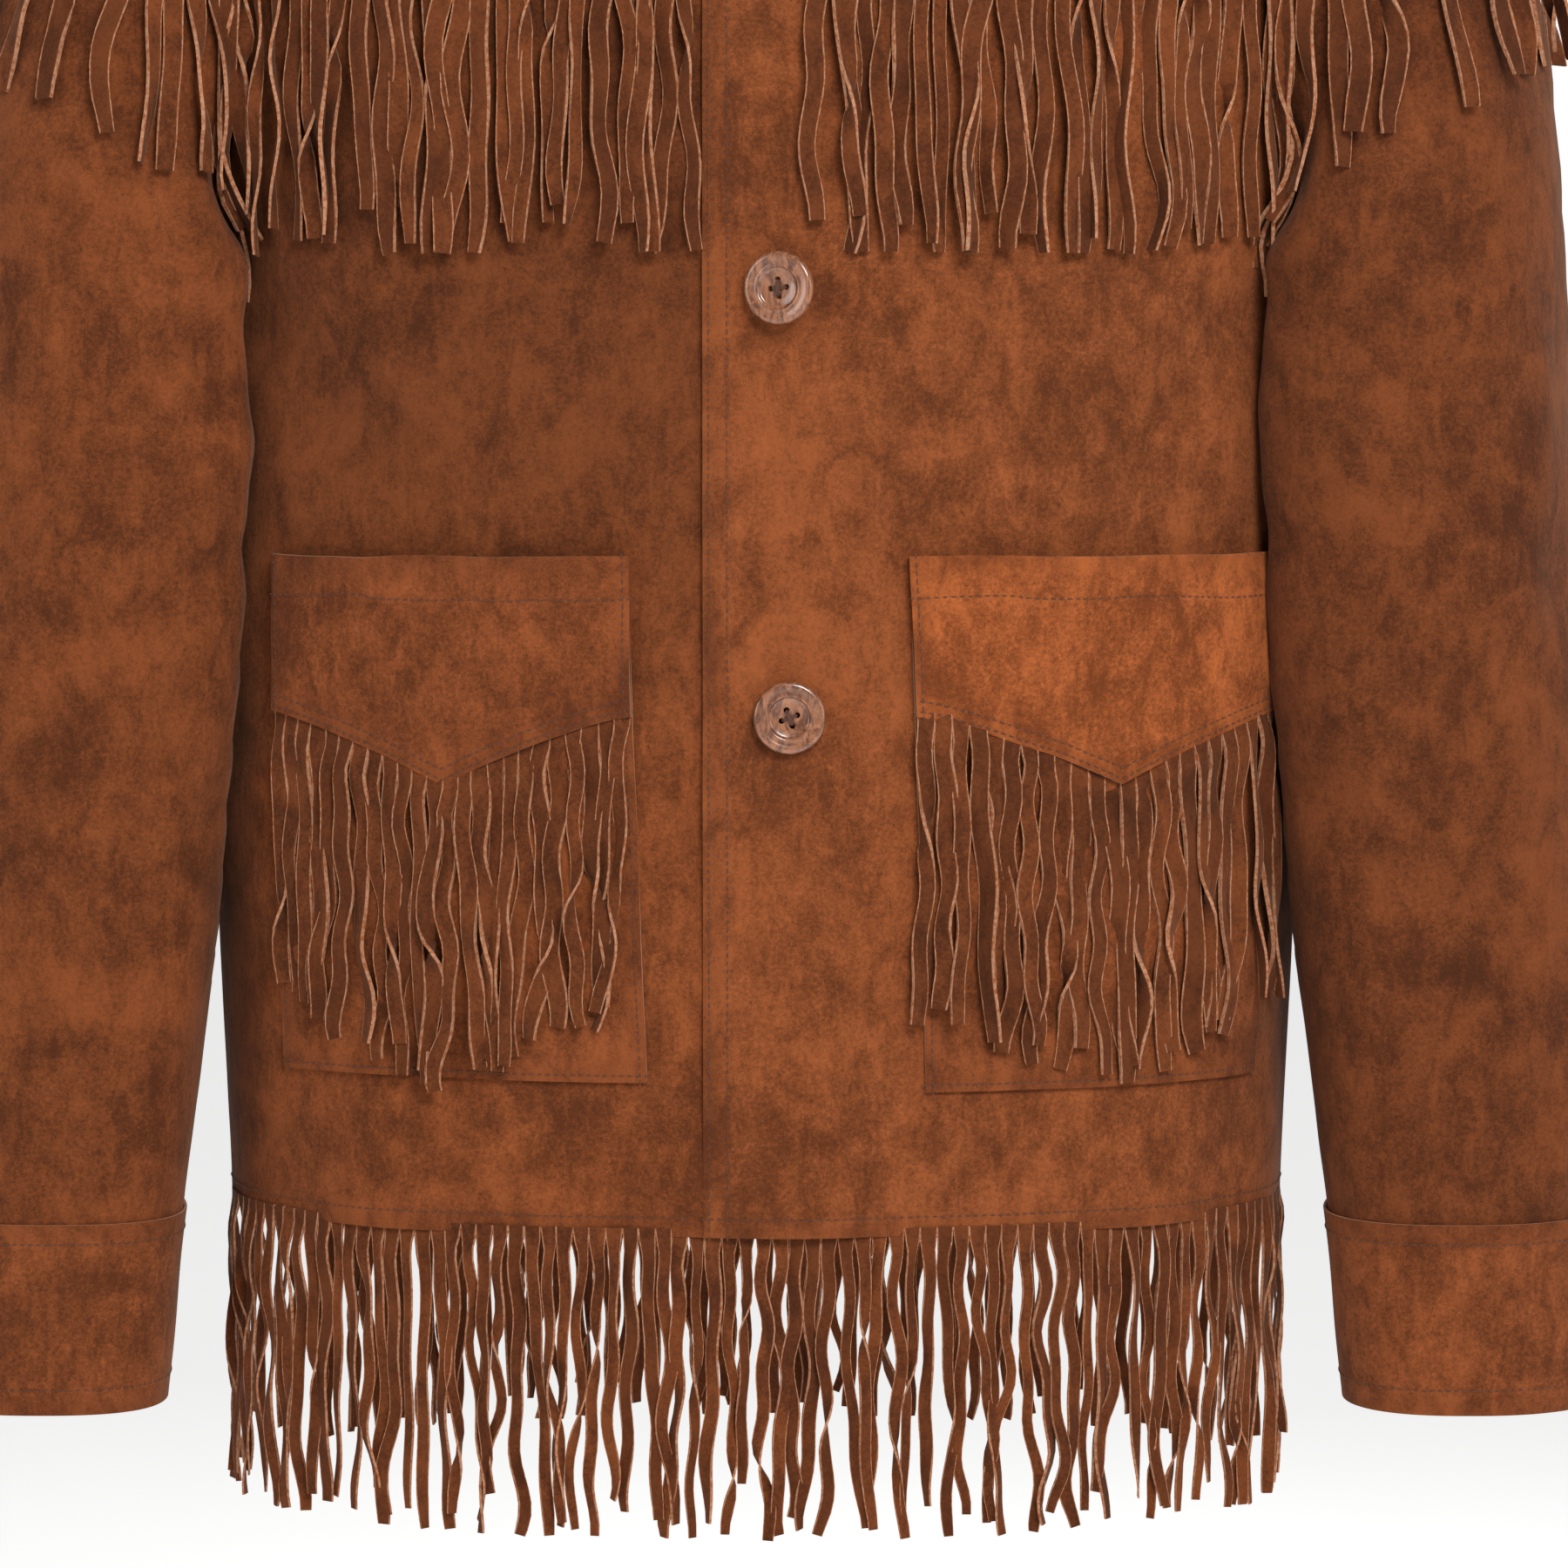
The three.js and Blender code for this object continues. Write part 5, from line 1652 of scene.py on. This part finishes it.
class JACKET_OT_stitching(bpy.types.Operator):
    """Sew the seams, edges and hems"""

    bl_idname = "jacket.stitching"
    bl_label = "Stitching"

    def execute(self, context):
        wall = context.scene.jacket_suede.wall / MM
        proud = STITCH_PROUD
        body, trim = [], []
        left, right, back = front_sheet("left"), front_sheet("right"), back_sheet()
        body += [along_edge(left, "first", inset, proud) for inset in PLACKET_INSETS]
        body += [along_edge(sheet, "low", HEM_INSET, proud) for sheet in (left, back)]
        body.append(along_edge(right, "low", HEM_INSET, proud, start=HIDDEN_UNDERLAP_SHARE))
        on_overlay, on_cuff = wall + proud, CUFF_GAP + CUFF_WALL_SHARE * wall + proud
        for name in SIDES:
            yoke, cuff = yoke_sheet(name), cuff_sheet(name)
            patch, flap = pocket_patch(name), pocket_yoke(name)
            body += [along_edge(yoke, edge, inset, proud) for edge, inset in YOKE_INSETS.items()]
            trim += [along_edge(patch, edge, POCKET_INSET, on_overlay) for edge in ("first", "last", "low")]
            for inset in FLAP_POINT_INSETS:
                trim.append(along_edge(flap, "low", inset, on_overlay, start=0.015, end=0.985))
            trim += [along_edge(flap, edge, inset, on_overlay) for edge, inset in FLAP_INSETS.items()]
            trim += [along_edge(cuff, edge, inset, on_cuff, end=0.998) for edge, inset in CUFF_INSETS.items()]
        for edge in ("low", "first", "last"):
            body.append(along_edge(back_yoke_sheet(), edge, BACK_YOKE_INSET, proud, count=220))
        for edge in ("first", "last", "high"):
            trim.append(along_edge(collar_sheet(), edge, COLLAR_INSET, wall / 2 + proud, count=220))
        self.sew("body_stitches", body, context)
        self.sew("trim_stitches", trim, context)
        return {"FINISHED"}

    def sew(self, name, lines, context):
        settings = context.scene.jacket_stitches
        values = {"Pitch": settings.pitch, "Length": settings.stitch, "Width": settings.width}
        dress(grown(name, lines, stitch_tree(), values, thread()), None, "suede")


class JACKET_OT_buttons(bpy.types.Operator):
    """Make the buttons and sew them on"""

    bl_idname = "jacket.buttons"
    bl_label = "Buttons"

    def execute(self, context):
        for name, place in BUTTON_PLACES.items():
            self.button(name, place, context.scene.jacket_buttons)
        return {"FINISHED"}

    def frame_of(self, place):
        """The button's seat, and its own across, up and out directions."""
        z = float(place["z"])
        seat = torso_at_x("front", place["x"], z)
        slope = float(front_depth(z + 5) - front_depth(z - 5)) / 10
        out = unit(np.array([0, -1.0, -slope]))
        across = np.array([1.0, 0, 0])
        tilt = math.radians(place["tilt"])
        across, out = (
            across * math.cos(tilt) + out * math.sin(tilt),
            out * math.cos(tilt) - across * math.sin(tilt),
        )
        lift = FRONT_LAP + 0.8 + 13.5 * math.sin(tilt)
        return seat + np.array([0, -lift, 0]), across, np.cross(out, across), out

    def button(self, name, place, settings):
        seat, across, up, out = self.frame_of(place)
        radius, thick, well = settings.radius / MM, settings.thickness / MM, settings.well / MM
        outline = (
            (0.0, 0.0), (radius - 2.6, 0.0), (radius - 1.2, 0.35), (radius - 0.25, 1.3), (radius, 2.2),
            (radius - 0.15, thick - 1.0), (radius - 0.6, thick - 0.35), (radius - 1.3, thick - 0.04),
            (radius - 2.2, thick), (radius - 3.0, thick - 0.22), (well + 1.7, thick - 0.5),
            (well + 1.0, thick - 0.28), (well + 0.45, thick - 0.3), (well + 0.1, thick - 0.6),
            (well - 0.2, thick - 1.25), (well - 0.9, thick - 1.6), (well * 0.5, thick - 1.75),
            (0.0, thick - 1.8),
        )
        bm = bmesh.new()
        segments = BUTTON_SEGMENTS
        turns = [2 * math.pi * k / segments for k in range(segments)]
        rings = [
            [bm.verts.new((r * math.cos(turn), r * math.sin(turn), h)) for turn in turns]
            if r
            else [bm.verts.new((0, 0, h))]
            for r, h in outline
        ]
        for low, high in zip(rings, rings[1:]):
            for k in range(segments):
                a, b = low[k % len(low)], low[(k + 1) % len(low)]
                c, d = high[(k + 1) % len(high)], high[k % len(high)]
                bm.faces.new([v for n, v in enumerate((a, b, c, d)) if v not in (a, b, c, d)[:n]])
        mesh = bpy.data.meshes.new(name)
        bm.to_mesh(mesh)
        bm.free()
        body = link(f"{name}_disc", mesh)
        body = self.drilled(body, settings, place["turn"])
        mesh = body.data
        matrix = np.array([across, up, out]).T
        local = np.array([v.co[:] for v in mesh.vertices])
        world = (local @ matrix.T + seat) * MM
        mesh.vertices.foreach_set("co", world.ravel())
        mesh.update()
        mesh.shade_smooth()
        mesh.set_sharp_from_angle(angle=math.radians(48))
        dress(body, horn(), "button", name)
        self.sewing(name, place, seat, across, up, out, settings)

    def drilled(self, body, settings, turn):
        """The button with its four sewing holes cut."""
        bm = bmesh.new()
        hole, reach = settings.hole / MM, HOLE_REACH
        for k in range(HOLE_COUNT):
            angle = k * math.pi / 2 + turn
            made = bmesh.ops.create_cone(
                bm, cap_ends=True, segments=HOLE_SEGMENTS, radius1=hole, radius2=hole, depth=16
            )
            bmesh.ops.translate(
                bm, verts=made["verts"], vec=(reach * math.cos(angle), reach * math.sin(angle), 0)
            )
        mesh = bpy.data.meshes.new("holes")
        bm.to_mesh(mesh)
        bm.free()
        cutter = link("holes", mesh)
        modifier = body.modifiers.new("holes", "BOOLEAN")
        modifier.operation, modifier.solver, modifier.object = "DIFFERENCE", "EXACT", cutter
        graph = bpy.context.evaluated_depsgraph_get()
        body_mesh = bpy.data.meshes.new_from_object(body.evaluated_get(graph))
        body.modifiers.clear()
        body.data = body_mesh
        bpy.data.objects.remove(cutter)
        return body

    def sewing(self, name, place, seat, across, up, out, settings):
        """Thread that crosses between the holes, in a few strands."""
        reach, height = HOLE_REACH, settings.thickness / MM - 1.75
        lines = []
        for k in range(2):
            angle = k * math.pi / 2 + place["turn"]
            for strand in (-0.45, 0.0, 0.45):
                t = np.linspace(-1, 1, 15)
                along = across * math.cos(angle) + up * math.sin(angle)
                aside = -across * math.sin(angle) + up * math.cos(angle)
                rise = 0.75 + 0.35 * k - 2.4 * np.abs(t) ** 5 + 0.1 * strand
                points = (
                    seat
                    + along * (reach * t)[:, None]
                    + aside * (strand * (1 - 0.3 * t * t))[:, None]
                    + out * (height + rise)[:, None]
                )
                lines.append(
                    {
                        "points": points,
                        "facing": np.broadcast_to(out, points.shape),
                        "width": np.full(15, 0.55 * MM),
                        "tone": np.zeros(15),
                    }
                )
        strands = grown(f"{name}_thread", lines, strip_tree(), {"Thickness": 0.9}, thread())
        dress(strands, None, "button")


class JACKET_OT_stage(bpy.types.Operator):
    """Set the camera, lights and floor"""

    bl_idname = "jacket.stage"
    bl_label = "Stage"

    def execute(self, context):
        scene, settings = context.scene, context.scene.jacket_stage
        front = CAD_BOX[0][1] + 0.008
        aim = Vector((settings.aside, front, settings.aim_height))
        camera = bpy.data.cameras.new("camera")
        camera.lens, camera.sensor_width = settings.lens, 36
        holder = bpy.data.objects.new("camera", camera)
        scene.collection.objects.link(holder)
        holder.location = (settings.aside, front - settings.distance, settings.camera_height)
        holder.rotation_euler = (aim - holder.location).to_track_quat("-Z", "Y").to_euler()
        scene.camera = holder
        self.floor()
        self.light("key", (0.75, -2.2, 1.05), 1.1, settings.key)
        self.light("fill_left", (-2.3, -1.3, 0.1), 1.3, settings.fill)
        self.light("fill_right", (2.3, -1.3, 0.1), 1.3, settings.fill * 0.8)
        self.light("behind", (0.3, 2.6, 0.9), 1.6, settings.fill * 1.6)
        self.surround(settings.sky)
        scene.view_settings.view_transform = "Standard"
        return {"FINISHED"}

    def floor(self):
        bm = bmesh.new()
        bmesh.ops.create_circle(bm, cap_ends=True, segments=96, radius=FLOOR_RADIUS)
        bmesh.ops.translate(bm, verts=bm.verts, vec=(0, 0, FLOOR_Z))
        mesh = bpy.data.meshes.new("floor")
        bm.to_mesh(mesh)
        bm.free()
        mesh.materials.append(pale_floor())
        link("floor", mesh)

    def light(self, name, place, size, power):
        data = bpy.data.lights.new(name, "AREA")
        data.shape, data.size, data.energy = "DISK", size, power
        obj = bpy.data.objects.new(name, data)
        bpy.context.scene.collection.objects.link(obj)
        obj.location = place
        obj.rotation_euler = (Vector((0, 0, -0.4)) - obj.location).to_track_quat("-Z", "Y").to_euler()

    def surround(self, strength):
        """A white surround that lights the jacket more weakly than it looks."""
        world = bpy.data.worlds.new("surround")
        bpy.context.scene.world = world
        world.use_nodes = True
        tree = Tree(world.node_tree)
        background = world.node_tree.nodes["Background"]
        background.inputs["Color"].default_value = (1, 1, 1, 1)
        seen = Number(tree, tree.node("ShaderNodeLightPath").outputs["Is Camera Ray"])
        tree.fill(background.inputs["Strength"], seen * (1.0 - strength) + strength)


class JACKET_PT_panel(bpy.types.Panel):
    """Lists the jacket's settings and the buttons that make its pieces"""

    bl_idname = "JACKET_PT_panel"
    bl_label = "Jacket"
    bl_space_type = "VIEW_3D"
    bl_region_type = "UI"
    bl_category = "Jacket"

    def draw(self, context):
        for name, group in GROUPS.items():
            box = self.layout.box()
            for prop in group.__annotations__:
                box.prop(getattr(context.scene, name), prop)
        for operator in OPERATORS:
            self.layout.operator(operator.bl_idname)


GROUPS = {
    "jacket_suede": JacketSuede,
    "jacket_fringe": JacketFringe,
    "jacket_stitches": JacketStitches,
    "jacket_buttons": JacketButtons,
    "jacket_stage": JacketStage,
}
OPERATORS = (
    JACKET_OT_stage,
    JACKET_OT_body,
    JACKET_OT_collar,
    JACKET_OT_sleeves,
    JACKET_OT_pockets,
    JACKET_OT_fringe,
    JACKET_OT_stitching,
    JACKET_OT_buttons,
)
CLASSES = (*GROUPS.values(), *OPERATORS, JACKET_PT_panel)


def register():
    for cls in CLASSES:
        bpy.utils.register_class(cls)
    for name, group in GROUPS.items():
        setattr(bpy.types.Scene, name, bpy.props.PointerProperty(type=group))


def unregister():
    for name in GROUPS:
        delattr(bpy.types.Scene, name)
    for cls in reversed(CLASSES):
        bpy.utils.unregister_class(cls)


def main():
    register()
    for operator in OPERATORS:
        group, call = operator.bl_idname.split(".")
        getattr(getattr(bpy.ops, group), call)()


if __name__ == "__main__":
    main()
